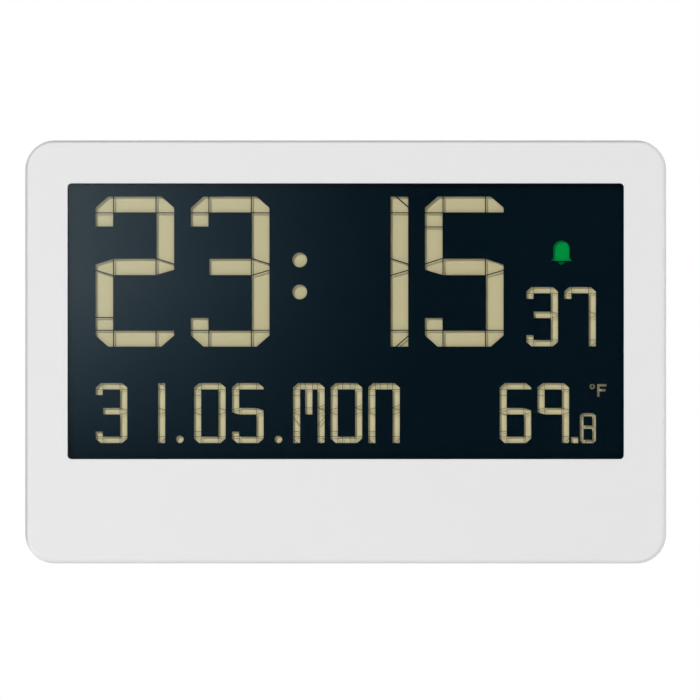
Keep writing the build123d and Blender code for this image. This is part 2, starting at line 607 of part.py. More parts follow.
def cover_pockets():
    """What is cut out of the rear cover."""
    half = TROUGH_WIDTH / 2
    lug_low = STAND_HINGE_Z - STAND_BARREL_RADIUS - STAND_GAP
    door_low = TUB_Z - DOOR_HEIGHT / 2 - DOOR_GAP
    door_high = TUB_Z + DOOR_HEIGHT / 2 + DOOR_GAP
    groove_half = DOOR_BARREL_RADIUS + DOOR_GAP
    inner_low = TUB_Z - TUB_INNER_HEIGHT / 2
    inner_high = TUB_Z + TUB_INNER_HEIGHT / 2
    pin_reach = DOOR_HEIGHT / 2 + DOOR_PIN_LENGTH + DOOR_GAP
    pockets = [
        block(-half, half, STAND_FLOOR, OVERRUN, TROUGH_BOTTOM, TROUGH_TOP),
        block(-half, half, HINGE_FLOOR, OVERRUN, lug_low, TROUGH_TOP),
        Pos(0, STAND_HINGE_Y, STAND_HINGE_Z)
        * Rot(0, 90, 0)
        * Cylinder(STAND_PIN_RADIUS + SCREW_CLEARANCE / 2, LUG_X * 2 + LUG_THICKNESS + OVERRUN),
        slab(
            NOTCH_REACH + NOTCH_UNDER,
            NOTCH_HEIGHT,
            NOTCH_CORNER,
            -NOTCH_DEPTH,
            OVERRUN,
            (NOTCH_UNDER - NOTCH_REACH - TROUGH_WIDTH) / 2,
            NOTCH_Z,
        ),
        block(TUB_INNER_LEFT, TUB_INNER_RIGHT, TUB_FLOOR, OVERRUN, inner_low, inner_high),
        block(DOOR_LEFT - DOOR_GAP, DOOR_HINGE_X, DOOR_LEDGE, OVERRUN, door_low, door_high),
        block(
            DOOR_HINGE_X - groove_half, DOOR_HINGE_X + groove_half, GROOVE_FLOOR, OVERRUN, door_low, door_high
        ),
        Pos(DOOR_HINGE_X, DOOR_HINGE_Y, TUB_Z) * Cylinder(DOOR_PIN_RADIUS + DOOR_PIN_PLAY, pin_reach * 2),
        block(
            TUB_LEFT - GRIP_REACH,
            TUB_LEFT,
            -GRIP_DEPTH,
            OVERRUN,
            TUB_Z - GRIP_HEIGHT / 2,
            TUB_Z + GRIP_HEIGHT / 2,
        ),
        slab(PANEL_WIDTH, PANEL_HEIGHT, PANEL_CORNER, PANEL_FLOOR, OVERRUN, PANEL_X, PANEL_Z),
        key_box(0, -REAR_WALL - KEY_BOX_DEPTH),
        rod(KEY_HEAD_RADIUS, -REAR_WALL - OVERRUN, OVERRUN, 0, KEY_Z),
        block(
            -KEY_SLOT_WIDTH / 2,
            KEY_SLOT_WIDTH / 2,
            -REAR_WALL - OVERRUN,
            OVERRUN,
            KEY_Z,
            KEY_Z + KEY_SLOT_RISE,
        ),
        rod(KEY_SLOT_WIDTH / 2, -REAR_WALL - OVERRUN, OVERRUN, 0, KEY_Z + KEY_SLOT_RISE),
        rod(BUZZER_RADIUS + FIT_GAP, BUZZER_FRONT - OVERRUN, BUZZER_BACK, BUZZER_X, BUZZER_Z),
        rod(BUZZER_RADIUS - CHAMBER_LEDGE, BUZZER_FRONT - OVERRUN, -REAR_WALL, BUZZER_X, BUZZER_Z),
    ]
    return pockets + cover_holes()


def cover_holes():
    """Screw, button, sound and vent holes of the rear cover."""
    holes = []
    for x, z in BOSS_PLACES:
        holes.append(rod(CASE_HEAD_RADIUS + HEAD_ROOM, HEAD_SEAT, OVERRUN, x, z))
        holes.append(rod(CASE_SCREW_RADIUS + SCREW_CLEARANCE, BOSS_TOP - OVERRUN, HEAD_SEAT, x, z))
    for x in BUTTON_PLACES.values():
        holes.append(button_prism(BUTTON_GAP, PANEL_INSIDE - OVERRUN, OVERRUN, x))
    half = SLIDER_WIDTH / 2 + BUTTON_GAP
    holes.append(
        block(
            SLIDER_X - half,
            SLIDER_X + half + SLIDER_TRAVEL,
            PANEL_INSIDE - OVERRUN,
            OVERRUN,
            LOWER_ROW_Z - SLIDER_HEIGHT / 2 - BUTTON_GAP,
            LOWER_ROW_Z + SLIDER_HEIGHT / 2 + BUTTON_GAP,
        )
    )
    holes.append(rod(RESET_HOLE_RADIUS, PANEL_INSIDE - OVERRUN, OVERRUN, RESET_X, LOWER_ROW_Z))
    holes.append(rod(SOUND_HOLE_RADIUS, -REAR_WALL - OVERRUN, OVERRUN, BUZZER_X, BUZZER_Z))
    ring = PolarLocations(BUZZER_RADIUS * SOUND_HOLE_SHARE, SOUND_HOLE_COUNT)
    for place in ring:
        spot = place.position
        holes.append(
            rod(SOUND_HOLE_RADIUS, -REAR_WALL - OVERRUN, OVERRUN, BUZZER_X + spot.X, BUZZER_Z + spot.Y)
        )
    for index in range(VENT_COUNT):
        vent = SlotOverall(VENT_WIDTH, VENT_HEIGHT)
        rise = CASE_HEIGHT * VENT_Z_SHARE + (index - (VENT_COUNT - 1) / 2) * VENT_PITCH
        place = Plane.XZ.offset(-OVERRUN) * Pos(CASE_WIDTH * VENT_X_SHARE, rise)
        holes.append(extrude(place * vent, REAR_WALL + OVERRUN * 2))
    for place in (TUB_Z - CELL_OFFSET, TUB_Z + CELL_OFFSET):
        holes.append(
            block(
                TUB_LEFT - OVERRUN,
                TUB_INNER_LEFT + OVERRUN,
                CELL_Y - TAIL_WIDTH / 2 - TAIL_ROOM,
                CELL_Y + TAIL_WIDTH / 2 + TAIL_ROOM,
                place - CONTACT_THICKNESS / 2 - TAIL_ROOM,
                place + CONTACT_THICKNESS / 2 + TAIL_ROOM,
            )
        )
    return holes


def rear_cover():
    return cover_shell() + cover_blocks() - cover_pockets()


def case_screws():
    sizes = (CASE_SCREW_RADIUS, CASE_SCREW_LENGTH, CASE_HEAD_RADIUS, CASE_HEAD_HEIGHT)
    return [screw(*sizes, HEAD_SEAT, x, z) for x, z in BOSS_PLACES]


def display_lens():
    return slab(LCD_WIDTH, LCD_HEIGHT, LCD_CORNER, LENS_FRONT, LENS_BACK, 0, WINDOW_Z)


def lens_tape():
    inner = (WINDOW_WIDTH - TAPE_SHOW * 2, WINDOW_HEIGHT - TAPE_SHOW * 2)
    return frame((LCD_WIDTH, LCD_HEIGHT), inner, LCD_CORNER, TAPE_FRONT, LENS_FRONT, WINDOW_Z)


def dust_gasket():
    inner = (LCD_WIDTH - GASKET_WIDTH * 2, LCD_HEIGHT - GASKET_WIDTH * 2)
    return frame((LCD_WIDTH, LCD_HEIGHT), inner, LCD_CORNER, LENS_BACK, LCD_FRONT, WINDOW_Z)


def segment_outlines(width, height):
    """Corners of every segment of a figure, anticlockwise from the figure's lower left corner."""
    inner = width * STROKE_SHARE
    outer = width - inner
    cut = width * CUT_WIDTH_SHARE
    low = height * BAR_SHARE
    high = height - low
    drop = height * CUT_HEIGHT_SHARE
    mid_low, mid_high = (height * share for share in MID_SHARES)
    tip_low, tip_high = (height * share for share in TIP_SHARES)
    stub_low, stub_high = (height * share for share in STUB_SHARES)
    one, two = (width * share for share in CENTRE_SHARES)
    split = height * SPLIT_SHARE
    steep, shallow = (height * share for share in DIAGONAL_SHARES)

    def box(left, right, bottom, top):
        return [(left, bottom), (right, bottom), (right, top), (left, top)]

    return {
        "ctl": [(0, high), (inner, high), (inner, height), (cut, height), (0, height - drop)],
        "bt": box(inner, outer, high, height),
        "bt1": box(inner, one, high, height),
        "bt2": box(one, two, high, height),
        "bt3": box(two, outer, high, height),
        "ctr": [(outer, high), (width, high), (width, height - drop), (width - cut, height), (outer, height)],
        "ftr": [(width, height - drop), (width, height), (width - cut, height)],
        "sul": box(0, inner, stub_high, high),
        "vul": [(0, tip_high), (inner, mid_high), (inner, stub_high), (0, stub_high)],
        "vuc": box(one, two, mid_high, high),
        "vur": [(outer, mid_high), (width, tip_high), (width, high), (outer, high)],
        "vur1": [(outer, mid_high), (width, split), (width, high), (outer, high)],
        "vur2": [(outer, mid_high), (width, tip_high), (width, split)],
        "wl": [(0, tip_low), (inner, mid_low), (inner, mid_high), (0, tip_high)],
        "bm": box(inner, outer, mid_low, mid_high),
        "bmc": box(one, two, mid_low, mid_high),
        "wr": [(outer, mid_low), (width, tip_low), (width, tip_high), (outer, mid_high)],
        "vll": [(0, stub_low), (inner, stub_low), (inner, mid_low), (0, tip_low)],
        "vll1": [(0, steep), (inner, shallow), (inner, mid_low), (0, tip_low)],
        "vll2": [(0, stub_low), (inner, stub_low), (inner, shallow), (0, steep)],
        "sll": box(0, inner, low, stub_low),
        "vlr": [(outer, low), (width, low), (width, tip_low), (outer, mid_low)],
        "vlr1": [(outer, shallow), (width, steep), (width, tip_low), (outer, mid_low)],
        "vlr2": [(outer, low), (width, low), (width, steep), (outer, shallow)],
        "cbl": [(cut, 0), (inner, 0), (inner, low), (0, low), (0, drop)],
        "bb": box(inner, outer, 0, low),
        "bb1": box(inner, one, 0, low),
        "bb2": box(one, two, 0, low),
        "bb3": box(two, outer, 0, low),
        "cbr": [(outer, 0), (width - cut, 0), (width, drop), (width, low), (outer, low)],
        "fbr": [(width - cut, 0), (width, 0), (width, drop)],
        "fbl": [(0, 0), (cut, 0), (0, drop)],
    }


def inset(points, depth):
    """The corners of a convex outline, listed anticlockwise, drawn in by a depth on every side."""
    corners = []
    count = len(points)
    for index in range(count):
        before, here, after = (Vector(*points[(index + step) % count]) for step in (-1, 0, 1))
        arriving = (here - before).normalized()
        leaving = (after - here).normalized()
        first = Vector(-arriving.Y, arriving.X)
        second = Vector(-leaving.Y, leaving.X)
        corners.append(here + (first + second) * (depth / (1 + first.dot(second))))
    return corners


def closed(points, x, z):
    """A closed outline of straight lines, moved to its place."""
    corners = [(point[0] + x, point[1] + z) for point in (tuple(Vector(*p)) for p in points)]
    return Wire.make_polygon([Vector(*corner) for corner in corners], close=True)


def window_point(across_share, down_share):
    """A place in the window, from its top left corner."""
    x = WINDOW_WIDTH * (across_share - 1 / 2)
    z = WINDOW_Z + WINDOW_HEIGHT * (1 / 2 - down_share)
    return x, z


def figure_wires():
    """The outlines of all the segments that are lit."""
    wires = []
    for text, left_share, pitch_share, top_share, width_share, height_share in ROW_SHARES:
        height = WINDOW_HEIGHT * height_share
        gap = height * GAP_SHARE
        outlines = segment_outlines(WINDOW_WIDTH * width_share + gap, height + gap)
        for index, letter in enumerate(text):
            x, z = window_point(left_share + index * pitch_share, top_share + height_share)
            for name in GLYPHS[letter].split():
                wires.append(closed(inset(outlines[name], gap / 2), x - gap / 2, z - gap / 2))
    return wires


def half_ring(x, z, outer, inner, tie, side):
    """One half of the degree ring, cut off straight where a tie crosses the ring."""
    reach = sqrt(outer * outer - tie * tie)
    hollow = sqrt(inner * inner - tie * tie)
    corners = [(tie, -reach), (tie, reach), (tie, hollow), (tie, -hollow)]
    a, b, c, d = (Vector(x + side * u, z + v) for u, v in corners)
    edges = [
        ThreePointArc(a, Vector(x + side * outer, z), b),
        Line(b, c),
        ThreePointArc(c, Vector(x + side * inner, z), d),
        Line(d, a),
    ]
    return Wire(edges)


def bell_wires():
    """The bell of the alarm: its body with the brim, and the clapper under it."""
    height = WINDOW_HEIGHT * BELL_HEIGHT_SHARE
    x, top = window_point(*BELL_SHARES)
    z = top - height
    body = height * BELL_BODY_SHARE
    brim, lip = (height * share for share in BELL_BRIM_SHARES)
    half, drop, gap = (height * share for share in BELL_CLAPPER_SHARES)
    shoulder = z + height - body
    outline = Wire(
        [
            Line((x - brim, z), (x + brim, z)),
            Line((x + brim, z), (x + body, z + lip)),
            Line((x + body, z + lip), (x + body, shoulder)),
            ThreePointArc((x + body, shoulder), (x, z + height), (x - body, shoulder)),
            Line((x - body, shoulder), (x - body, z + lip)),
            Line((x - body, z + lip), (x - brim, z)),
        ]
    )
    clapper = Wire(
        [
            Line((x + half, z - gap), (x - half, z - gap)),
            ThreePointArc((x - half, z - gap), (x, z - gap - drop), (x + half, z - gap)),
        ]
    )
    return [outline, clapper]


def sign_wires():
    """The dots, the decimal point, the degree ring and the unit letter."""
    wires = []
    for across_share, down_share, radius_share in DOT_SHARES:
        x, z = window_point(across_share, down_share)
        wires.append(Wire.make_circle(WINDOW_HEIGHT * radius_share, Plane(origin=(x, z, 0))))
    x, z = window_point(*POINT_SHARES[:2])
    width = WINDOW_WIDTH * POINT_SHARES[2]
    height = WINDOW_HEIGHT * POINT_SHARES[3]
    wires.append(closed([(0, 0), (0, -height), (width, -height), (width, 0)], x, z))
    x, z = window_point(*DEGREE_SHARES[:2])
    outer, inner = (WINDOW_HEIGHT * share for share in DEGREE_SHARES[2:])
    wires += [half_ring(x, z, outer, inner, inner * TIE_SHARE, side) for side in (-1, 1)]
    x, z = window_point(*UNIT_SHARES[:2])
    width = WINDOW_WIDTH * UNIT_SHARES[2]
    height = WINDOW_HEIGHT * UNIT_SHARES[3]
    stroke = height * UNIT_STROKE_SHARE
    arm = height * UNIT_ARM_SHARES[0]
    short = width * UNIT_ARM_SHARES[1]
    half = stroke / 2
    letter = [(0, 0), (0, -height), (stroke, -height), (stroke, -arm - half), (short, -arm - half)]
    letter += [(short, -arm + half), (stroke, -arm + half), (stroke, -stroke), (width, -stroke)]
    return wires + [closed(letter + [(width, 0)], x, z)]


def lcd_front_glass():
    outline = Pos(0, WINDOW_Z) * RectangleRounded(LCD_WIDTH, LCD_HEIGHT, LCD_CORNER)
    holes = figure_wires() + sign_wires() + bell_wires()
    sheet = Face(outline.wire(), holes)
    return extrude(Plane.XZ.offset(-LCD_FRONT_BACK) * sheet, LCD_FRONT_THICKNESS)


def lcd_seal():
    outer = (LCD_WIDTH, LCD_REAR_HEIGHT)
    inner = (LCD_WIDTH - SEAL_WIDTH * 2, LCD_REAR_HEIGHT - SEAL_WIDTH * 2)
    return frame(outer, inner, LCD_CORNER, LCD_FRONT_BACK, LCD_REAR_FRONT, WINDOW_Z)


def lcd_rear_glass():
    return slab(LCD_WIDTH, LCD_REAR_HEIGHT, LCD_CORNER, LCD_REAR_FRONT, LCD_REAR_BACK, 0, WINDOW_Z)


def alarm_icon_filter():
    x, top = window_point(*BELL_SHARES)
    size = WINDOW_HEIGHT * BELL_HEIGHT_SHARE * FILTER_SHARE
    middle = top - size * FILTER_DROP_SHARE
    return slab(size, size, 0, LCD_REAR_FRONT - FILTER_THICKNESS, LCD_REAR_FRONT, x, middle)


def lcd_holder():
    holder = slab(HOLDER_WIDTH, HOLDER_HEIGHT, LCD_CORNER + HOLDER_RIM, BEZEL_BACK, PCB_FRONT, 0, WINDOW_Z)
    for x, z in POST_PLACES:
        reach = POST_X + POST_RADIUS
        left, right = (-reach, 0) if x < 0 else (0, reach)
        holder += block(left, right, EAR_FRONT, PCB_FRONT, z - EAR_HEIGHT / 2, z + EAR_HEIGHT / 2)
    width = LCD_WIDTH + HOLDER_GAP * 2
    height = LCD_HEIGHT + HOLDER_GAP * 2
    holder -= slab(width, height, LCD_CORNER, BEZEL_BACK - OVERRUN, LCD_REAR_BACK, 0, WINDOW_Z)
    for rise in (-ZEBRA_RISE, ZEBRA_RISE):
        holder -= slab(
            ZEBRA_LENGTH + ZEBRA_ROOM * 2,
            ZEBRA_WIDTH + ZEBRA_ROOM * 2,
            0,
            LCD_REAR_BACK - OVERRUN,
            PCB_FRONT + OVERRUN,
            PCB_X,
            WINDOW_Z + rise,
        )
    hole = SMALL_SCREW_RADIUS + SCREW_CLEARANCE
    for x, z in POST_PLACES:
        holder -= rod(hole, EAR_FRONT - OVERRUN, PCB_FRONT + OVERRUN, x, z)
    for x, z in pcb_screw_places():
        holder -= rod(hole, PCB_FRONT - SMALL_SCREW_BITE - HOLE_REST, PCB_FRONT + OVERRUN, x, z)
    return holder


def holder_screws():
    length = min(EAR_THICKNESS + HOLDER_SCREW_BITE, PCB_FRONT - BEZEL_BACK - HOLE_REST)
    return [
        screw(SMALL_SCREW_RADIUS, length, SMALL_HEAD_RADIUS, SMALL_HEAD_HEIGHT, PCB_FRONT, x, z)
        for x, z in POST_PLACES
    ]


def zebra_strips():
    strips = []
    for rise in (-ZEBRA_RISE, ZEBRA_RISE):
        strips.append(
            slab(ZEBRA_LENGTH, ZEBRA_WIDTH, 0, LCD_FRONT_BACK, PCB_FRONT, PCB_X, WINDOW_Z + rise)
        )
    return strips


def board_point(across_share, up_share):
    """A place on the board, from its middle."""
    return PCB_X + PCB_WIDTH * across_share, WINDOW_Z + PCB_HEIGHT * up_share


def pcb_screw_places():
    return [board_point(*shares) for shares in PCB_SCREW_SHARES]


def main_pcb():
    board = slab(PCB_WIDTH, PCB_HEIGHT, PCB_CORNER, PCB_FRONT, PCB_BACK, PCB_X, WINDOW_Z)
    for x, z in pcb_screw_places():
        board -= rod(SMALL_SCREW_RADIUS + SCREW_CLEARANCE, PCB_FRONT - OVERRUN, PCB_BACK + OVERRUN, x, z)
    return board


def pcb_screws():
    length = PCB_THICKNESS + SMALL_SCREW_BITE
    return [
        screw(SMALL_SCREW_RADIUS, length, SMALL_HEAD_RADIUS, SMALL_HEAD_HEIGHT, PCB_BACK, x, z)
        for x, z in pcb_screw_places()
    ]


def controller_chip():
    blob = rod(CHIP_RADIUS, PCB_BACK, PCB_BACK + CHIP_HEIGHT, *board_point(*CHIP_SHARES))
    return fillet(blob.faces().sort_by(Axis.Y)[-1].edges(), CHIP_EDGE)


def quartz_crystal():
    x, z = board_point(*CRYSTAL_SHARES)
    return Pos(x, PCB_BACK + CRYSTAL_RADIUS, z) * Cylinder(CRYSTAL_RADIUS, CRYSTAL_LENGTH)


def filter_capacitor():
    x, z = board_point(*FILTER_CAP_SHARES)
    return rod(FILTER_CAP_RADIUS, PCB_BACK, PCB_BACK + FILTER_CAP_HEIGHT, x, z)


def chip_capacitors():
    places = [board_point(*shares) for shares in CHIP_CAP_SHARES]
    back = PCB_BACK + CHIP_CAP_DEPTH
    return [slab(CHIP_CAP_WIDTH, CHIP_CAP_HEIGHT, 0, PCB_BACK, back, x, z) for x, z in places]


def temperature_sensor():
    edge = PCB_X - PCB_WIDTH / 2
    z = CASE_HEIGHT * VENT_Z_SHARE
    rise = PCB_BACK + SENSOR_LEAD_RISE
    sensor = Pos(edge - SENSOR_REACH, rise, z) * Rot(0, 0, BEAD_TURN) * Sphere(BEAD_RADIUS)
    for offset in (-SENSOR_LEAD_PITCH / 2, SENSOR_LEAD_PITCH / 2):
        points = [
            (edge + SENSOR_ROOT, PCB_BACK, z + offset),
            (edge + SENSOR_ROOT, rise, z + offset),
            (edge - SENSOR_REACH, rise, z + offset),
        ]
        sensor += wire_tube(points, SENSOR_LEAD_RADIUS, SENSOR_BEND)
    return sensor


def switch_places():
    return [(x, BUTTON_Z) for x in BUTTON_PLACES.values()] + [(RESET_X, LOWER_ROW_Z)]


def button_switches():
    bodies = []
    for x, z in switch_places():
        body = slab(SWITCH_SIZE, SWITCH_SIZE, 0, PCB_BACK, SWITCH_TOP, x, z)
        floor = SWITCH_TOP - SWITCH_BORE_DEPTH
        bore = rod(PLUNGER_RADIUS + PLUNGER_PLAY, floor, SWITCH_TOP + OVERRUN, x, z)
        bodies.append(body - bore)
    return bodies


def switch_plunger(x, z):
    return rod(PLUNGER_RADIUS, SWITCH_TOP - PLUNGER_DEPTH, PLUNGER_TOP, x, z)


def button_prism(extra, front, back, x):
    """A bar with the outline of a button, wider by extra on every side."""
    outline = SlotOverall(BUTTON_WIDTH + extra * 2, BUTTON_HEIGHT + extra * 2)
    return extrude(Plane.XZ.offset(-back) * Pos(x, BUTTON_Z) * outline, back - front)


def push_button(x):
    cap = button_prism(0, FLANGE_TOP, -BUTTON_SET, x)
    cap = fillet(cap.faces().sort_by(Axis.Y)[-1].edges(), BUTTON_EDGE)
    flange = button_prism(FLANGE_EXTRA, FLANGE_BOTTOM, FLANGE_TOP, x)
    return cap + flange + rod(STEM_RADIUS, PLUNGER_TOP, FLANGE_BOTTOM, x, BUTTON_Z)


def slide_switch():
    body = slab(SLIDE_BODY_WIDTH, SLIDE_BODY_HEIGHT, 0, PCB_BACK, SLIDE_TOP, SLIDER_X, LOWER_ROW_Z)
    half = ACTUATOR_SIZE / 2 + PLUNGER_PLAY
    middle = SLIDER_X
    return body - block(
        middle - half,
        middle + half + SLIDER_TRAVEL,
        SLIDE_TOP - ACTUATOR_DEPTH - FLANGE_GAP,
        SLIDE_TOP + OVERRUN,
        LOWER_ROW_Z - half,
        LOWER_ROW_Z + half,
    )


def slide_actuator():
    return slab(
        ACTUATOR_SIZE, ACTUATOR_SIZE, 0, SLIDE_TOP - ACTUATOR_DEPTH, ACTUATOR_TOP, SLIDER_X, LOWER_ROW_Z
    )


def alarm_slider():
    knob = slab(SLIDER_WIDTH, SLIDER_HEIGHT, 0, FLANGE_TOP, -BUTTON_SET, SLIDER_X, LOWER_ROW_Z)
    for index in range(SLIDER_RIDGES):
        offset = (index - (SLIDER_RIDGES - 1) / 2) * SLIDER_WIDTH / SLIDER_RIDGES
        top = -BUTTON_SET
        knob -= slab(
            RIDGE_WIDTH,
            SLIDER_HEIGHT + OVERRUN,
            0,
            top - RIDGE_SINK,
            top + OVERRUN,
            SLIDER_X + offset,
            LOWER_ROW_Z,
        )
    reach = SLIDER_FLANGE + SLIDER_TRAVEL
    flange = slab(
        SLIDER_WIDTH + reach * 2,
        SLIDER_HEIGHT + SLIDER_FLANGE,
        0,
        FLANGE_BOTTOM,
        FLANGE_TOP,
        SLIDER_X,
        LOWER_ROW_Z,
    )
    neck = slab(ACTUATOR_SIZE, ACTUATOR_SIZE, 0, ACTUATOR_TOP, FLANGE_BOTTOM, SLIDER_X, LOWER_ROW_Z)
    return knob + flange + neck


def buzzer_disc():
    return rod(BUZZER_RADIUS, BUZZER_FRONT, BUZZER_BACK, BUZZER_X, BUZZER_Z)


def buzzer_ceramic():
    return rod(CERAMIC_RADIUS, CERAMIC_FRONT, BUZZER_FRONT, BUZZER_X, BUZZER_Z)


def buzzer_leads():
    leads = []
    z = BUZZER_Z + CERAMIC_RADIUS * BUZZER_LEAD_SHARE
    for offset in (-BUZZER_LEAD_PITCH / 2, BUZZER_LEAD_PITCH / 2):
        x = BUZZER_X + offset
        run = CERAMIC_FRONT - BUZZER_LEAD_RUN
        points = [(x, CERAMIC_FRONT, z), (x, run, z), (x, run, PAD_Z), (x, PCB_BACK, PAD_Z)]
        leads.append(wire_tube(points, LEAD_RADIUS, LEAD_BEND))
    return leads


def battery(z, nub_left):
    """One cell. Its raised end points left or right."""
    can = Pos(0, 0, 0) * Cylinder(CELL_RADIUS, CELL_LENGTH)
    can = fillet(can.edges().filter_by(GeomType.CIRCLE), CELL_EDGE)
    can += Pos(0, 0, (CELL_LENGTH + NUB_LENGTH) / 2) * Cylinder(NUB_RADIUS, NUB_LENGTH)
    if nub_left:
        x = TUB_INNER_LEFT + CONTACT_THICKNESS + NUB_LENGTH + CELL_LENGTH / 2
    else:
        x = TUB_INNER_RIGHT - CONTACT_THICKNESS - NUB_LENGTH - CELL_LENGTH / 2
    return Pos(x, CELL_Y, z) * Rot(0, -90 if nub_left else 90, 0) * can


def contact_plate(left, low, high):
    half = CONTACT_SIZE / 2
    return block(left, left + CONTACT_THICKNESS, CELL_Y - half, CELL_Y + half, low - half, high + half)


def contact_leaf(x, z, side):
    """A bowed spring leaf standing on a contact plate. Side is the way that it bulges."""
    half = CONTACT_SIZE / 2
    inner = half - CONTACT_THICKNESS * 2
    rise = LEAF_RISE - CONTACT_THICKNESS
    outer_arc = ThreePointArc((x, CELL_Y - half), (x + side * LEAF_RISE, CELL_Y), (x, CELL_Y + half))
    inner_arc = ThreePointArc((x, CELL_Y + inner), (x + side * rise, CELL_Y), (x, CELL_Y - inner))
    feet = [Line(outer_arc @ 1, inner_arc @ 0), Line(inner_arc @ 1, outer_arc @ 0)]
    strip = make_face([outer_arc, feet[0], inner_arc, feet[1]])
    width = CONTACT_SIZE * LEAF_WIDTH_SHARE
    return Pos(0, 0, z - width / 2) * extrude(strip, width, dir=(0, 0, 1))


def contact_tail(z):
    half = TAIL_WIDTH / 2
    edge = CONTACT_THICKNESS / 2
    return block(TUB_LEFT - TAIL_OUT, TUB_INNER_LEFT, CELL_Y - half, CELL_Y + half, z - edge, z + edge)


def positive_contact():
    z = TUB_Z + CELL_OFFSET
    return contact_plate(TUB_INNER_LEFT, z, z) + contact_tail(z)


def negative_contact():
    z = TUB_Z - CELL_OFFSET
    plate = contact_plate(TUB_INNER_LEFT, z, z) + contact_tail(z)
    return plate + contact_leaf(TUB_INNER_LEFT + CONTACT_THICKNESS, z, 1)


def link_contact():
    low = TUB_Z - CELL_OFFSET
    high = TUB_Z + CELL_OFFSET
    left = TUB_INNER_RIGHT - CONTACT_THICKNESS
    return contact_plate(left, low, high) + contact_leaf(left, high, -1)


def battery_lead(z, out):
    start = TUB_LEFT - TAIL_OUT
    points = [(start, CELL_Y, z), (start - out, CELL_Y, z), (start - out, CELL_Y, PAD_Z)]
    return wire_tube(points + [(start - out, PCB_BACK, PAD_Z)], LEAD_RADIUS, LEAD_BEND)


def battery_door():
    half = DOOR_HEIGHT / 2
    door = block(DOOR_LEFT, DOOR_HINGE_X, DOOR_BACK, -DOOR_SET, TUB_Z - half, TUB_Z + half)
    tab = GRIP_HEIGHT / 2 - DOOR_GAP
    door += block(DOOR_LEFT - DOOR_TAB, DOOR_LEFT, DOOR_BACK, -DOOR_SET, TUB_Z - tab, TUB_Z + tab)
    barrel = Pos(DOOR_HINGE_X, DOOR_HINGE_Y, TUB_Z)
    door += barrel * Cylinder(DOOR_BARREL_RADIUS, DOOR_HEIGHT)
    door += barrel * Cylinder(DOOR_PIN_RADIUS, DOOR_HEIGHT + DOOR_PIN_LENGTH * 2)
    for index in range(RIDGE_COUNT):
        x = DOOR_LEFT + RIDGE_INSET + index * RIDGE_PITCH
        door -= slab(
            RIDGE_WIDTH, GRIP_HEIGHT, 0, -DOOR_SET - RIDGE_SINK, -DOOR_SET + OVERRUN, x, TUB_Z
        )
    return door


def stand():
    low = STAND_HINGE_Z - STAND_LENGTH
    high = STAND_HINGE_Z + HEEL_RISE
    half = STAND_WIDTH / 2
    leg = block(-half, half, STAND_BACK, -STAND_SET, low, high)
    leg = fillet(leg.edges().filter_by(Axis.Y).group_by(Axis.Z)[0], STAND_CORNER)
    panel = STAND_LENGTH - STAND_BARREL_RADIUS - PANEL_BORDER * 2
    leg -= slab(
        STAND_WIDTH - PANEL_BORDER * 2,
        panel,
        STAND_CORNER / 2,
        -STAND_SET - PANEL_SINK,
        OVERRUN,
        0,
        low + PANEL_BORDER + panel / 2,
    )
    axis = Pos(0, STAND_HINGE_Y, STAND_HINGE_Z) * Rot(0, 90, 0)
    leg += axis * Cylinder(STAND_BARREL_RADIUS, STAND_WIDTH)
    return leg - axis * Cylinder(STAND_PIN_RADIUS + STAND_PIN_PLAY, STAND_WIDTH + OVERRUN)


def stand_pin():
    length = LUG_X * 2 + LUG_THICKNESS
    return Pos(0, STAND_HINGE_Y, STAND_HINGE_Z) * Rot(0, 90, 0) * Cylinder(STAND_PIN_RADIUS, length)


def all_nodes():
    """Every piece of the clock by its name."""
    nodes = {
        "front_housing": front_housing(),
        "rear_cover": rear_cover(),
        "case_screws": case_screws(),
        "display_lens": display_lens(),
        "lens_tape": lens_tape(),
        "dust_gasket": dust_gasket(),
        "lcd_front_glass": lcd_front_glass(),
        "lcd_seal": lcd_seal(),
        "lcd_rear_glass": lcd_rear_glass(),
        "alarm_icon_filter": alarm_icon_filter(),
        "lcd_holder": lcd_holder(),
        "holder_screws": holder_screws(),
        "zebra_strips": zebra_strips(),
        "main_pcb": main_pcb(),
        "pcb_screws": pcb_screws(),
        "controller_chip": controller_chip(),
        "quartz_crystal": quartz_crystal(),
        "filter_capacitor": filter_capacitor(),
        "chip_capacitors": chip_capacitors(),
        "temperature_sensor": temperature_sensor(),
        "button_switches": button_switches(),
        "reset_plunger": switch_plunger(RESET_X, LOWER_ROW_Z),
        "slide_switch": slide_switch(),
        "slide_actuator": slide_actuator(),
        "alarm_slider": alarm_slider(),
        "buzzer_disc": buzzer_disc(),
        "buzzer_ceramic": buzzer_ceramic(),
        "buzzer_leads": buzzer_leads(),
        "battery_upper": battery(TUB_Z + CELL_OFFSET, True),
        "battery_lower": battery(TUB_Z - CELL_OFFSET, False),
        "positive_contact": positive_contact(),
        "negative_contact": negative_contact(),
        "link_contact": link_contact(),
        "positive_lead": battery_lead(TUB_Z + CELL_OFFSET, LEAD_OUT),
        "negative_lead": battery_lead(TUB_Z - CELL_OFFSET, LEAD_OUT + LEAD_STEP),
        "battery_door": battery_door(),
        "stand": stand(),
        "stand_pin": stand_pin(),
    }
    for name, x in BUTTON_PLACES.items():
        nodes[name + "_button"] = push_button(x)
        nodes[name + "_plunger"] = switch_plunger(x, BUTTON_Z)
    return nodes


def solids_of(shape):
    pieces = shape if isinstance(shape, list) else [shape]
    return [solid for piece in pieces for solid in piece.solids()]


def main():
    """Writes one file per piece, with the middle of the keyhole's round hole as the origin."""
    os.makedirs("parts", exist_ok=True)
    for name, shape in all_nodes().items():
        placed = [Pos(0, 0, -KEY_Z) * solid for solid in solids_of(shape)]
        export_step(placed[0] if len(placed) == 1 else Compound(placed), f"parts/{name}.step")
        print(name, len(placed), "solids")


if __name__ == "__main__":
    main()
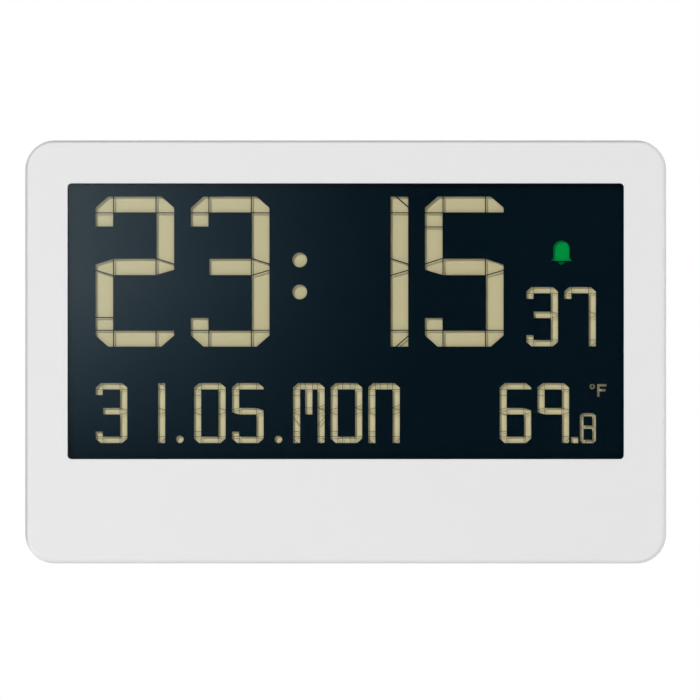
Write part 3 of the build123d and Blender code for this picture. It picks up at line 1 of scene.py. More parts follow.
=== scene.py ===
# %% [markdown]
# # A digital wall clock in a studio
# The solids of the clock come from the CAD model, in metres and in place. They could
# be modelled a second time here, but two models drift apart, so they are loaded and
# stay as they are. This lesson gives each of them a finish, adds the small printed
# and moulded details that a solid doesn't carry, and sets up the camera and the light.

import math

import bmesh
import bpy
from mathutils import Matrix, Vector


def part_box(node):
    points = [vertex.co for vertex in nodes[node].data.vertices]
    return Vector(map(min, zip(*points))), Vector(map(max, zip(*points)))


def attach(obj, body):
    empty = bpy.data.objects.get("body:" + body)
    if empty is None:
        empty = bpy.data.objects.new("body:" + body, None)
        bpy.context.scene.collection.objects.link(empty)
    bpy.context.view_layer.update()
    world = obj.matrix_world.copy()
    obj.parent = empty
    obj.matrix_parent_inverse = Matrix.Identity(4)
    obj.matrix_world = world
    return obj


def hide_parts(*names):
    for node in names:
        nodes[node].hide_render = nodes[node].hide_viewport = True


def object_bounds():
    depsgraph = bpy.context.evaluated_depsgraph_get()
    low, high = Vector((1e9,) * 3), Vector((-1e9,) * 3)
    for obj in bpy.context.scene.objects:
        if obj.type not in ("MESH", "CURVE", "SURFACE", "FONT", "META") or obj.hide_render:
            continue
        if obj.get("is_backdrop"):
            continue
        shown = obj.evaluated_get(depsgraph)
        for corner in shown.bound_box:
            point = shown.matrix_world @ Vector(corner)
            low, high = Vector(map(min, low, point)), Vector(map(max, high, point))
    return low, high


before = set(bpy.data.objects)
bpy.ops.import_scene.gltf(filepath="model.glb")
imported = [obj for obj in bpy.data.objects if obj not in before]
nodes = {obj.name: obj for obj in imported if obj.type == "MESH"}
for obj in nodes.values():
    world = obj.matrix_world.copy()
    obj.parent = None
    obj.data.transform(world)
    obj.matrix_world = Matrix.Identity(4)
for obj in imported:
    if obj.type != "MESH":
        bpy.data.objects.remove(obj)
cad_low, cad_high = (Vector(corner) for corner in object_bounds())
clock_middle = (cad_low + cad_high) / 2
scene = bpy.context.scene
MM = 0.001
print("solids:", len(nodes), "box in mm:", [round(side / MM, 1) for side in cad_high - cad_low])

# %% [markdown]
# ## Camera
# The photograph looks straight at the clock's face through a long lens, so that the
# sides of the case don't show. A camera without perspective would look much the same,
# but it would lose the slight depth inside the window. So the focal length is worked
# out from the width that the picture covers at the face, and the aim is a little off
# the clock's middle.

# %% Camera
FACE_Y = cad_low.y
PICTURE_WIDTH = 283.7 * MM
CAMERA_DISTANCE = 2.0
SENSOR_WIDTH = 36.0
AIM_RIGHT = 1.72 * MM
AIM_UP = 0.8 * MM
NEAR_LIMIT = 0.05
FAR_LIMIT = 50.0

lens_data = bpy.data.cameras.new("studio_camera")
lens_data.sensor_width = SENSOR_WIDTH
lens_data.lens = SENSOR_WIDTH * CAMERA_DISTANCE / PICTURE_WIDTH
lens_data.clip_start = NEAR_LIMIT
lens_data.clip_end = FAR_LIMIT
camera = bpy.data.objects.new("studio_camera", lens_data)
camera.location = (
    clock_middle.x + AIM_RIGHT,
    FACE_Y - CAMERA_DISTANCE,
    clock_middle.z + AIM_UP,
)
camera.rotation_euler = (math.radians(90), 0, 0)
scene.collection.objects.link(camera)
scene.camera = camera
scene.view_settings.view_transform = "Standard"
print("camera lens in mm:", round(lens_data.lens, 1))

# %% [markdown]
# ## Wiring helpers
# A finish is a tree of nodes joined by wires. In the editor each wire is one drag of
# the mouse, and in a script it is one call, so a tree soon fills a page. The moves that
# come back in every tree are made short functions: feed a socket with a number, a
# colour or a wire, do a sum, set up a shader, mix two of them, and end the tree.

# %% Wiring helpers


def feed(tree, socket, source):
    """Sets a socket to a plain value, or wires another node's output to it."""
    if isinstance(source, bpy.types.NodeSocket):
        tree.links.new(source, socket)
    else:
        socket.default_value = source


def sums(tree, operation, *sources):
    """The result of a Math node."""
    node = tree.nodes.new("ShaderNodeMath")
    node.operation = operation
    for socket, source in zip(node.inputs, sources):
        feed(tree, socket, source)
    return node.outputs[0]


def set_shader(tree, kind, **sources):
    """A shader with its sockets fed by name, where _ stands for a space."""
    node = tree.nodes.new(kind)
    for name, source in sources.items():
        feed(tree, node.inputs[name.replace("_", " ")], source)
    return node.outputs[0]


def mix_shaders(tree, share, first, second):
    """The first shader where the share is 0 and the second where it is 1."""
    node = tree.nodes.new("ShaderNodeMixShader")
    for socket, source in zip(node.inputs, (share, first, second)):
        feed(tree, socket, source)
    return node.outputs[0]


def end_tree(tree, surface, kind="ShaderNodeOutputMaterial"):
    """Puts the finished shader on the tree's output node."""
    feed(tree, tree.nodes.new(kind).inputs["Surface"], surface)


WIRING = (feed, sums, set_shader, mix_shaders, end_tree)
print("wiring helpers:", ", ".join(helper.__name__ for helper in WIRING))

# %% [markdown]
# ## White surroundings
# The clock is photographed in a white room. One bright white world would show that,
# but it would also wash out every shade on the pale case. So the world is white where
# the camera, a reflection or clear plastic looks at it, and dimmer for lighting, which
# leaves the shaping to the lamps. Light Path tells the two cases apart.

# %% World
WHITE = (1, 1, 1, 1)
WORLD_FILL = 0.10
WORLD_WHITE = 1.0


def looked_at(tree):
    """1 for rays from the camera, off gloss or through clear plastic, else 0."""
    path = tree.nodes.new("ShaderNodeLightPath")
    direct = sums(tree, "MAXIMUM", path.outputs["Is Camera Ray"], path.outputs["Is Glossy Ray"])
    return sums(tree, "MAXIMUM", direct, path.outputs["Is Transmission Ray"])


world = bpy.data.worlds.new("white_studio")
world.use_nodes = True
scene.world = world
tree = world.node_tree
tree.nodes.clear()
dim = set_shader(tree, "ShaderNodeBackground", Color=WHITE, Strength=WORLD_FILL)
bright = set_shader(tree, "ShaderNodeBackground", Color=WHITE, Strength=WORLD_WHITE)
room = mix_shaders(tree, looked_at(tree), dim, bright)
end_tree(tree, room, "ShaderNodeOutputWorld")
print("world fill:", WORLD_FILL)

# %% [markdown]
# ## Soft lamps
# A photographer shapes a white case with a few soft lamps. A world with bright patches
# could do it too, but lamps can be moved and dimmed one by one. The main lamp stands at
# the upper left in front of the clock. It is small for its distance, so the narrow
# shade that it throws inside the top and left edges of each display segment stays
# crisp. A weak lamp near the camera opens that shade a little. One lamp level with the
# right side lifts that rim and hardly reaches the face, and two large lamps light the
# back.

# %% Lamps
# Each lamp has its offset from the clock's middle, its diameter and its power in watts.
LAMPS = {
    "key_lamp": ((-3.6, -5.3, 3.6), 0.48, 365.0),
    "front_lamp": ((0.9, -3.0, 0.1), 0.5, 11.5),
    "right_lamp": ((2.2, 0.0, 0.3), 0.8, 11.0),
    "back_left_lamp": ((-1.2, 1.2, 1.2), 1.0, 24.0),
    "back_right_lamp": ((1.3, 1.2, 0.6), 1.0, 13.0),
}

for lamp_name, (offset, diameter, power) in LAMPS.items():
    lamp_data = bpy.data.lights.new(lamp_name, "AREA")
    lamp_data.shape = "DISK"
    lamp_data.size = diameter
    lamp_data.energy = power
    lamp = bpy.data.objects.new(lamp_name, lamp_data)
    lamp.location = clock_middle + Vector(offset)
    lamp.rotation_euler = Vector(offset).to_track_quat("Z", "Y").to_euler()
    lamp.visible_camera = False
    lamp.visible_glossy = False
    lamp.visible_transmission = False
    scene.collection.objects.link(lamp)
print("lamps:", ", ".join(LAMPS))

# %% [markdown]
# ## Floor
# The clock hangs on a wall, so the pale floor is some way below it. A plain white sheet
# would turn grey with distance and show its edge. This one is painted near the clock,
# where it keeps the soft shadow, and fades to the white of the surroundings further
# out. Its underside is clear, so that a view from below still sees the clock.

# %% Floor paint
FLOOR_PAINT = (0.86, 0.86, 0.86, 1)
FADE_START = 0.30
FADE_END = 0.62


def bare_material(name):
    """A material with an empty node tree."""
    material = bpy.data.materials.new(name)
    material.use_nodes = True
    material.node_tree.nodes.clear()
    return material


def object_place(tree):
    """Object coordinates, which travel with a piece when it moves."""
    return tree.nodes.new("ShaderNodeTexCoord").outputs["Object"]


def rescaled(tree, value, low, high, to_low=0.0, to_high=1.0, curve="LINEAR"):
    """A value from one range, told in another."""
    node = tree.nodes.new("ShaderNodeMapRange")
    node.interpolation_type = curve
    names = ("Value", "From Min", "From Max", "To Min", "To Max")
    for name, source in zip(names, (value, low, high, to_low, to_high)):
        feed(tree, node.inputs[name], source)
    return node.outputs["Result"]


pale_floor = bare_material("pale_floor")
tree = pale_floor.node_tree
reach = tree.nodes.new("ShaderNodeVectorMath")
reach.operation = "LENGTH"
tree.links.new(object_place(tree), reach.inputs[0])
fade = rescaled(tree, reach.outputs["Value"], FADE_START, FADE_END, curve="SMOOTHSTEP")
paint = set_shader(tree, "ShaderNodeBsdfDiffuse", Color=FLOOR_PAINT)
glow = set_shader(tree, "ShaderNodeEmission", Color=WHITE, Strength=WORLD_WHITE)
upper = mix_shaders(tree, sums(tree, "MULTIPLY", fade, looked_at(tree)), paint, glow)
facing = tree.nodes.new("ShaderNodeNewGeometry")
clear = set_shader(tree, "ShaderNodeBsdfTransparent")
end_tree(tree, mix_shaders(tree, facing.outputs["Backfacing"], upper, clear))
print("floor turns white from", FADE_START, "to", FADE_END, "metres")

# %% Floor
FLOOR_DROP = 0.12
FLOOR_RADIUS = 3.0
FLOOR_SIDES = 64


def stage_object(name, sheet, material):
    """A stage piece from a bmesh."""
    mesh = bpy.data.meshes.new(name)
    sheet.to_mesh(mesh)
    sheet.free()
    piece = bpy.data.objects.new(name, mesh)
    scene.collection.objects.link(piece)
    mesh.materials.append(material)
    piece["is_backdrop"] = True
    return piece


sheet = bmesh.new()
bmesh.ops.create_circle(sheet, cap_ends=True, segments=FLOOR_SIDES, radius=FLOOR_RADIUS)
floor = stage_object("floor", sheet, pale_floor)
floor.location = (0, clock_middle.y, cad_low.z - FLOOR_DROP)
print("floor at z in mm:", round(floor.location.z / MM, 1))

# %% [markdown]
# ## Dark card
# A glossy window mirrors the whole room, so photographers hold up a dark card beside
# the camera. The display is paler on its left, because a soft light shows in that
# mirror image. It could be painted on the display, but then it would stay there in
# every view. So the card itself glows at its left end, and its light turns bluer as it
# fades. Only gloss and clear plastic see the card, and it casts no shadow.

# %% Card light
CARD_DISTANCE = 2.4
CARD_LIGHT = 0.98
CARD_FADE_POWER = 2.0
CARD_DIM_TINT = (0.46, 0.77, 1.0, 1)
CARD_BRIGHT_TINT = (0.70, 0.91, 1.0, 1)
MIRROR_SCALE = 1 + CARD_DISTANCE / CAMERA_DISTANCE
LIGHT_LEFT = -108 * MM * MIRROR_SCALE
LIGHT_RIGHT = 44 * MM * MIRROR_SCALE
LIGHT_TOP = 22 * MM * MIRROR_SCALE
LIGHT_BOTTOM = -64 * MM * MIRROR_SCALE


def place_by_axis(tree):
    """Object coordinates as outputs named X, Y and Z."""
    split = tree.nodes.new("ShaderNodeSeparateXYZ")
    tree.links.new(object_place(tree), split.inputs[0])
    return split.outputs


def mix_colours(tree, share, first, second, blend="MIX"):
    """The first colour where the share is 0, blended with the second where it is 1."""
    node = tree.nodes.new("ShaderNodeMix")
    node.data_type = "RGBA"
    node.blend_type = blend
    for name, source in (("Factor", share), ("A", first), ("B", second)):
        feed(tree, node.inputs[name], source)
    return node.outputs["Result"]


card_finish = bare_material("dark_card")
tree = card_finish.node_tree
axes = place_by_axis(tree)
leftward = sums(tree, "POWER", rescaled(tree, axes["X"], LIGHT_RIGHT, LIGHT_LEFT), CARD_FADE_POWER)
upward = rescaled(tree, axes["Z"], LIGHT_BOTTOM, LIGHT_TOP)
level = sums(tree, "MULTIPLY", leftward, upward)
tint = mix_colours(tree, level, CARD_DIM_TINT, CARD_BRIGHT_TINT)
strength = sums(tree, "MULTIPLY", level, CARD_LIGHT)
end_tree(tree, set_shader(tree, "ShaderNodeEmission", Color=tint, Strength=strength))
print("card light in mm from", round(LIGHT_LEFT / MM), "to", round(LIGHT_RIGHT / MM))

# %% Dark card
CARD_RAISE = 12 * MM
CARD_HALF_WIDTH = 1.0
CARD_HALF_HEIGHT = 0.7

sheet = bmesh.new()
bmesh.ops.create_grid(sheet, x_segments=1, y_segments=1, size=1)
bmesh.ops.scale(sheet, vec=(CARD_HALF_WIDTH, CARD_HALF_HEIGHT, 1), verts=sheet.verts)
bmesh.ops.rotate(sheet, matrix=Matrix.Rotation(math.radians(-90), 3, "X"), verts=sheet.verts)
card = stage_object("dark_card", sheet, card_finish)
card.location = (clock_middle.x, FACE_Y - CARD_DISTANCE, clock_middle.z + CARD_RAISE)
card.visible_camera = False
card.visible_diffuse = False
card.visible_shadow = False
print("card behind the camera by mm:", round((CARD_DISTANCE - CAMERA_DISTANCE) / MM))

# %% [markdown]
# ## Black flag
# White on white needs an edge to be seen by. The rim could be painted darker, but that
# would be wrong under other light. Photographers keep the main lamp off the outermost
# rim with a narrow black card just outside the picture, called a flag. This one is an
# L along the left side and the top, with its inner line where the main lamp's rays to
# the rim pass, so its soft shadow ends on the rim. Only that shadow is seen of it.

# %% Flag
FLAG_AHEAD = 24 * MM
FLAG_WIDTH = 20 * MM
FLAG_OVER_LEFT = 1.1 * MM
FLAG_OVER_TOP = 0.35 * MM
FLAG_SPARE = 10 * MM
FLAG_FELT = (0.02, 0.02, 0.02, 1)
FLAG_CORNER_STEPS = 10
CASE_CORNER = 12 * MM
ROUND_PROFILE = 0.5
SAME_MATERIAL = -1


def round_off(shape, geom, offset, affect, segments):
    """Rounds edges or corners. A script has to give bevel what the editor has set."""
    bmesh.ops.bevel(
        shape,
        geom=geom,
        offset=offset,
        affect=affect,
        segments=segments,
        profile=ROUND_PROFILE,
        material=SAME_MATERIAL,
    )


black_flag = bare_material("black_flag")
tree = black_flag.node_tree
end_tree(tree, set_shader(tree, "ShaderNodeBsdfDiffuse", Color=FLAG_FELT))

to_lamp = Vector(LAMPS["key_lamp"][0])
lean = to_lamp * (FLAG_AHEAD / -to_lamp.y)
inner_x = cad_low.x + FLAG_OVER_LEFT + lean.x
inner_z = cad_high.z - FLAG_OVER_TOP + lean.z
right_end = cad_high.x + lean.x + FLAG_SPARE
bottom_end = cad_low.z + lean.z - FLAG_SPARE
sheet = bmesh.new()
corners = [
    sheet.verts.new((x, FACE_Y - FLAG_AHEAD, z))
    for x, z in (
        (inner_x, inner_z),
        (right_end, inner_z),
        (right_end, inner_z + FLAG_WIDTH),
        (inner_x - FLAG_WIDTH, inner_z + FLAG_WIDTH),
        (inner_x - FLAG_WIDTH, bottom_end),
        (inner_x, bottom_end),
    )
]
sheet.faces.new(corners)
round_off(sheet, corners[:1], CASE_CORNER - FLAG_OVER_LEFT, "VERTICES", FLAG_CORNER_STEPS)
bmesh.ops.triangulate(sheet, faces=sheet.faces)
flag = stage_object("black_flag", sheet, black_flag)
flag.visible_camera = False
flag.visible_diffuse = False
flag.visible_glossy = False
flag.visible_transmission = False
print("flag in front of the face by mm:", round(FLAG_AHEAD / MM))

# %% [markdown]
# ## Moulded grain
# Moulded plastic, rubber, film and ceramic all have a fine grain and a slow drift of
# tone. Pictures of each could be wrapped round the parts, but noise has no seams and
# no pixels. One node group makes grain and drift from noise on Object coordinates, and
# each finish gives it its own colours and scales. It puts out a colour, a roughness
# and a height, and the shader itself stays in the material.

# %% Moulded grain
COLOUR = "NodeSocketColor"
NUMBER = "NodeSocketFloat"
GRAIN_INPUTS = [
    ("Colour", COLOUR, (0.8, 0.8, 0.8, 1)),
    ("Shade", COLOUR, (0.75, 0.75, 0.75, 1)),
    ("Fine Scale", NUMBER, 2200.0),
    ("Broad Scale", NUMBER, 25.0),
    ("Smooth", NUMBER, 0.4),
    ("Rough", NUMBER, 0.55),
]
SURFACE_OUTPUTS = [("Colour", COLOUR), ("Roughness", NUMBER), ("Height", NUMBER)]
FINE_DETAIL = 2.0
BROAD_DETAIL = 3.0
FINE_SHARE = 0.5
NOISE_LOW = 0.3
NOISE_HIGH = 0.7


def new_group(name, inputs, outputs):
    """A shader node group with named sockets: its tree, its inputs and its outputs."""
    group = bpy.data.node_groups.new(name, "ShaderNodeTree")
    for socket_name, kind, value in inputs:
        socket = group.interface.new_socket(socket_name, in_out="INPUT", socket_type=kind)
        socket.default_value = value
    for socket_name, kind in outputs:
        group.interface.new_socket(socket_name, in_out="OUTPUT", socket_type=kind)
    entry = group.nodes.new("NodeGroupInput")
    way_out = group.nodes.new("NodeGroupOutput")
    return group, entry.outputs, way_out.inputs


def noise(tree, vector, scale, detail):
    """The value of a Noise texture."""
    node = tree.nodes.new("ShaderNodeTexNoise")
    for name, source in (("Vector", vector), ("Scale", scale), ("Detail", detail)):
        feed(tree, node.inputs[name], source)
    return node.outputs["Fac"]


grain, given, result = new_group("moulded_grain", GRAIN_INPUTS, SURFACE_OUTPUTS)
place = object_place(grain)
fine = noise(grain, place, given["Fine Scale"], FINE_DETAIL)
broad = noise(grain, place, given["Broad Scale"], BROAD_DETAIL)
broad_part = sums(grain, "MULTIPLY", broad, 1 - FINE_SHARE)
both = sums(grain, "MULTIPLY_ADD", fine, FINE_SHARE, broad_part)
gloss = rescaled(grain, both, NOISE_LOW, NOISE_HIGH, given["Smooth"], given["Rough"])
feed(grain, result["Colour"], mix_colours(grain, broad, given["Colour"], given["Shade"]))
feed(grain, result["Roughness"], gloss)
feed(grain, result["Height"], fine)
print("group:", grain.name, "with", len(grain.nodes), "nodes")

# %% [markdown]
# ## From group to finish
# Every finish is wired the same way, so one function does it: the group drives colour
# and roughness, and its height goes through a Bump node. Sharp CAD edges catch no
# light, and real moulds are never that sharp. The edges could be cut round in the mesh,
# but a Bevel node rounds the light on them and leaves the solid alone. What is the same
# all over the surface is set on the shader's own sockets.

# %% Finish from a group
EDGE_SAMPLES = 4


def finish_with(group, name, values, bump=0.2, depth=0.02 * MM, round_edge=0.0, **plain):
    """A Principled finish with colour, roughness and bump from a group."""
    material = bare_material(name)
    tree = material.node_tree
    effect = tree.nodes.new("ShaderNodeGroup")
    effect.node_tree = group
    for socket_name, value in values.items():
        effect.inputs[socket_name].default_value = value
    relief = tree.nodes.new("ShaderNodeBump")
    relief.inputs["Strength"].default_value = bump
    relief.inputs["Distance"].default_value = depth
    tree.links.new(effect.outputs["Height"], relief.inputs["Height"])
    if round_edge:
        soft = tree.nodes.new("ShaderNodeBevel")
        soft.samples = EDGE_SAMPLES
        soft.inputs["Radius"].default_value = round_edge
        tree.links.new(soft.outputs["Normal"], relief.inputs["Normal"])
    varied = {
        "Base_Color": effect.outputs["Colour"],
        "Roughness": effect.outputs["Roughness"],
        "Normal": relief.outputs["Normal"],
    }
    if "Metal" in effect.outputs:
        varied["Metallic"] = effect.outputs["Metal"]
    end_tree(tree, set_shader(tree, "ShaderNodeBsdfPrincipled", **varied, **plain))
    return material


def moulded(name, colour, shade, fine=2200.0, broad=25.0, smooth=0.4, rough=0.55, **rest):
    """A finish from the moulded grain group."""
    values = {
        "Colour": (*colour, 1),
        "Shade": (*shade, 1),
        "Fine Scale": fine,
        "Broad Scale": broad,
        "Smooth": smooth,
        "Rough": rough,
    }
    return finish_with(grain, name, values, **rest)


print("finish makers:", finish_with.__name__, moulded.__name__)

# %% [markdown]
# ## White case
# The case is moulded in matt white plastic. A pure white would burn out under the
# lamps, so it is a pale grey that still reads as white. The rear cover, the stand and
# the battery door could share the front's finish, but they come out of plainer moulds,
# so they get a coarser grain and less gloss.

# %% Case finishes
CASE_EDGE = 0.25 * MM

case_white = moulded(
    "case_white",
    (0.800, 0.800, 0.800),
    (0.785, 0.785, 0.786),
    smooth=0.42,
    rough=0.56,
    bump=0.12,
    round_edge=CASE_EDGE,
    Specular_IOR_Level=0.35,
)
rear_white = moulded(
    "rear_white",
    (0.795, 0.795, 0.794),
    (0.775, 0.775, 0.775),
    fine=1500.0,
    smooth=0.50,
    rough=0.66,
    bump=0.25,
    round_edge=CASE_EDGE,
    Specular_IOR_Level=0.35,
)
print("finishes:", case_white.name, rear_white.name)

# %% [markdown]
# ## Clear lens
# The window is a thin clear acrylic sheet. A nearly transparent shader would be quick,
# but Principled with full transmission bends and mirrors light as acrylic does. Light
# from the lamps and from the walls has to reach the display behind it, and a renderer
# finds that way badly through glass. So for those rays Light Path swaps in a
# Transparent shader.

# %% Lens finish
LENS_IOR = 1.40
LENS_TINT = (0.985, 0.99, 0.992, 1)
DRIFT_SCALE = 18.0
DRIFT_DETAIL = 2.0

lens_clear = bare_material("lens_clear")
tree = lens_clear.node_tree
drift = noise(tree, object_place(tree), DRIFT_SCALE, DRIFT_DETAIL)
acrylic = set_shader(
    tree,
    "ShaderNodeBsdfPrincipled",
    Base_Color=mix_colours(tree, drift, WHITE, LENS_TINT),
    Transmission_Weight=1.0,
    IOR=LENS_IOR,
    Roughness=0.0,
)
path = tree.nodes.new("ShaderNodeLightPath")
clear = set_shader(tree, "ShaderNodeBsdfTransparent")
for_walls = mix_shaders(tree, path.outputs["Is Diffuse Ray"], acrylic, clear)
end_tree(tree, mix_shaders(tree, path.outputs["Is Shadow Ray"], for_walls, clear))
print("finish:", lens_clear.name)

# %% [markdown]
# ## Display
# A dark liquid-crystal sheet covers all but the live segments. A pale, slightly grainy
# reflector lies a millimetre behind it and shows through them, and a small green film
# lies on the reflector behind the bell. The segments could be painted on one flat
# sheet, but the real gap between the two gives each its narrow inner shade, so every
# layer is a solid with its own finish. A glossy black tape frames the window.

# %% Display finishes
display_dark = moulded(
    "display_dark",
    (0.0006, 0.0050, 0.0095),
    (0.0010, 0.0060, 0.0105),
    fine=4000.0,
    broad=14.0,
    smooth=0.30,
    rough=0.42,
    bump=0.02,
    depth=0.002 * MM,
    Specular_IOR_Level=0.05,
)
display_pale = moulded(
    "display_pale",
    (0.556, 0.506, 0.300),
    (0.530, 0.478, 0.280),
    fine=3500.0,
    broad=9.0,
    smooth=0.55,
    rough=0.75,
    bump=0.15,
    Specular_IOR_Level=0.06,
)
icon_green = moulded(
    "icon_green",
    (0.0008, 0.300, 0.058),
    (0.0008, 0.270, 0.050),
    fine=3500.0,
    smooth=0.5,
    rough=0.7,
    Specular_IOR_Level=0.0,
)
gloss_black_tape = moulded(
    "gloss_black_tape",
    (0.0022, 0.0026, 0.0030),
    (0.0030, 0.0034, 0.0038),
    smooth=0.08,
    rough=0.16,
    bump=0.05,
)
DISPLAY = (display_dark, display_pale, icon_green, gloss_black_tape)
print("display finishes:", ", ".join(finish.name for finish in DISPLAY))

# %% [markdown]
# ## Painted light behind the small rows
# Thin strokes lose more light to the shade of their own edges than thick ones, and the
# photograph shows them no darker. A lamp can't reach them alone, so light is painted into
# the reflector's colour instead: it is a little paler behind the seconds, the date and the
# degrees, as painted light that offsets that shade. Two comparisons on Object coordinates
# find those places, and their edges lie under the dark sheet, unseen.

# %% Small rows
SMALL_ROWS_BELOW = 5.3 * MM
SECONDS_RIGHT_OF = 68.0 * MM
# Painted light: a factor on the reflector's colour that stands in for light lost to shade.
SMALL_ROWS_PAINTED_LIGHT = (1.18, 1.18, 1.18, 1)

tree = display_pale.node_tree
axes = place_by_axis(tree)
low_rows = sums(tree, "LESS_THAN", axes["Z"], clock_middle.z - SMALL_ROWS_BELOW)
seconds = sums(tree, "GREATER_THAN", axes["X"], clock_middle.x + SECONDS_RIGHT_OF)
painted_light_rows = sums(tree, "MAXIMUM", low_rows, seconds)
pale = tree.nodes["Group"].outputs["Colour"]
# The reflector's colour is multiplied up here as painted light behind the small rows.
painted_paler = mix_colours(tree, painted_light_rows, pale, SMALL_ROWS_PAINTED_LIGHT, "MULTIPLY")
feed(tree, tree.nodes["Principled BSDF"].inputs["Base Color"], painted_paler)
print("small rows paler by:", round(SMALL_ROWS_PAINTED_LIGHT[0] - 1, 2))

# %% [markdown]
# ## Rubber and small parts
# Most of these are inside, and show through the vents or when the battery door is open:
# rubber strips and gaskets, the white display holder, black switches, tan capacitors,
# the buzzer's ceramic and the wires. The grey buttons are on the back. Each could have
# a tree of its own, but they differ only in colours and gloss. So a table holds those,
# and the moulded grain makes the rest.

# %% Inner finishes
PART_EDGE = 0.2 * MM
INNER_LOOKS = {
    "black_rubber": {
        "colour": (0.012, 0.012, 0.013),
        "shade": (0.022, 0.022, 0.023),
        "smooth": 0.6,
        "rough": 0.85,
        "bump": 0.3,
    },
    "holder_white": {
        "colour": (0.72, 0.72, 0.70),
        "shade": (0.66, 0.66, 0.64),
        "smooth": 0.5,
        "rough": 0.7,
        "round_edge": PART_EDGE,
    },
    "black_parts": {
        "colour": (0.014, 0.014, 0.015),
        "shade": (0.026, 0.026, 0.028),
        "smooth": 0.25,
        "rough": 0.5,
        "bump": 0.25,
    },
    "component_tan": {
        "colour": (0.42, 0.27, 0.13),
        "shade": (0.34, 0.21, 0.10),
        "broad": 300.0,
        "smooth": 0.3,
        "rough": 0.5,
    },
    "ceramic_white": {
        "colour": (0.78, 0.75, 0.68),
        "shade": (0.70, 0.67, 0.60),
        "broad": 120.0,
        "smooth": 0.5,
        "rough": 0.7,
    },
    "button_grey": {
        "colour": (0.36, 0.37, 0.38),
        "shade": (0.33, 0.34, 0.35),
        "smooth": 0.38,
        "rough": 0.52,
        "bump": 0.15,
        "round_edge": PART_EDGE,
    },
    "lead_red": {
        "colour": (0.42, 0.020, 0.016),
        "shade": (0.34, 0.016, 0.013),
        "smooth": 0.3,
        "rough": 0.45,
    },
    "lead_black": {
        "colour": (0.012, 0.012, 0.013),
        "shade": (0.02, 0.02, 0.021),
        "smooth": 0.3,
        "rough": 0.45,
    },
}

inner_finishes = {name: moulded(name, **look) for name, look in INNER_LOOKS.items()}
print("inner finishes:", ", ".join(inner_finishes))

# %% [markdown]
# ## Circuit board
# Under its green lacquer the board has copper tracks, which show as paler, slightly
# raised lines. They could be modelled as thin strips, but only a glimpse of the board
# is ever seen. So the mortar lines of a Brick texture stand for them: they run in rows
# with short links between, as tracks do.

# %% Circuit board
BLACK = (0, 0, 0, 1)
BOARD_INPUTS = [
    ("Lacquer", COLOUR, (0.010, 0.085, 0.030, 1)),
    ("Track", COLOUR, (0.022, 0.150, 0.055, 1)),
    ("Track Scale", NUMBER, 180.0),
]
TRACK_PATTERN = {
    "Color1": BLACK,
    "Color2": BLACK,
    "Mortar": WHITE,
    "Mortar Size": 0.05,
    "Brick Width": 2.3,
    "Row Height": 0.32,
}
LACQUER_ROUGHNESS = 0.32
TRACK_ROUGHNESS = 0.24
TRACK_BUMP = 0.6
TRACK_DEPTH = 0.04 * MM

board, given, result = new_group("board_tracks", BOARD_INPUTS, SURFACE_OUTPUTS)
turn = board.nodes.new("ShaderNodeMapping")
turn.inputs["Rotation"].default_value = (math.radians(90), 0, 0)
board.links.new(object_place(board), turn.inputs["Vector"])
bricks = board.nodes.new("ShaderNodeTexBrick")
for socket_name, value in TRACK_PATTERN.items():
    bricks.inputs[socket_name].default_value = value
board.links.new(turn.outputs["Vector"], bricks.inputs["Vector"])
board.links.new(given["Track Scale"], bricks.inputs["Scale"])
tracks = bricks.outputs["Color"]
shine = rescaled(board, tracks, 0.0, 1.0, LACQUER_ROUGHNESS, TRACK_ROUGHNESS)
feed(board, result["Colour"], mix_colours(board, tracks, given["Lacquer"], given["Track"]))
feed(board, result["Roughness"], shine)
feed(board, result["Height"], tracks)
board_green = finish_with(board, "board_green", {}, bump=TRACK_BUMP, depth=TRACK_DEPTH)
inner_finishes["board_green"] = board_green
print("finish:", board_green.name)

# %% [markdown]
# ## Metals
# Screws, contacts and the crystal's can are bright steel, and the buzzer disc is brass.
# Drawn and stamped metal has fine streaks along one direction. An anisotropic shader
# could hint at them, but it needs a direction on every face. Here the noise is
# stretched before it drives the colour, the gloss and a faint relief.

# %% Metal finishes
METAL_INPUTS = [
    ("Colour", COLOUR, (0.6, 0.6, 0.6, 1)),
    ("Shade", COLOUR, (0.5, 0.5, 0.5, 1)),
    ("Streak Scale", NUMBER, 900.0),
    ("Smooth", NUMBER, 0.22),
    ("Rough", NUMBER, 0.4),
]
STREAK_STRETCH = (0.12, 1.0, 1.0)
STREAK_DETAIL = 4.0
STREAK_DEPTH = 0.01 * MM
STEEL_EDGE = 0.1 * MM

drawn, given, result = new_group("drawn_metal", METAL_INPUTS, SURFACE_OUTPUTS)
stretch = drawn.nodes.new("ShaderNodeMapping")
stretch.inputs["Scale"].default_value = STREAK_STRETCH
drawn.links.new(object_place(drawn), stretch.inputs["Vector"])
streaks = noise(drawn, stretch.outputs["Vector"], given["Streak Scale"], STREAK_DETAIL)
gloss = rescaled(drawn, streaks, 0.0, 1.0, given["Smooth"], given["Rough"])
feed(drawn, result["Colour"], mix_colours(drawn, streaks, given["Colour"], given["Shade"]))
feed(drawn, result["Roughness"], gloss)
feed(drawn, result["Height"], streaks)


def metal(name, colour, shade, **rest):
    """A finish from the drawn metal group."""
    values = {"Colour": (*colour, 1), "Shade": (*shade, 1)}
    return finish_with(drawn, name, values, depth=STREAK_DEPTH, Metallic=1.0, **rest)


steel = metal("steel", (0.62, 0.62, 0.61), (0.48, 0.48, 0.48), round_edge=STEEL_EDGE)
brass = metal("brass", (0.72, 0.52, 0.22), (0.58, 0.40, 0.16))
inner_finishes["steel"] = steel
inner_finishes["brass"] = brass
print("metals:", steel.name, brass.name)

# %% [markdown]
# ## Battery sleeve
# A cell's steel can wears a printed plastic sleeve. Its bands run round the cell, so
# they are painted by how far along the cell a point is, and the bare steel shows at the
# two ends. Object coordinates could tell how far, but the two cells point opposite
# ways. So both numbers are stored on the mesh as attributes when the cell is made.

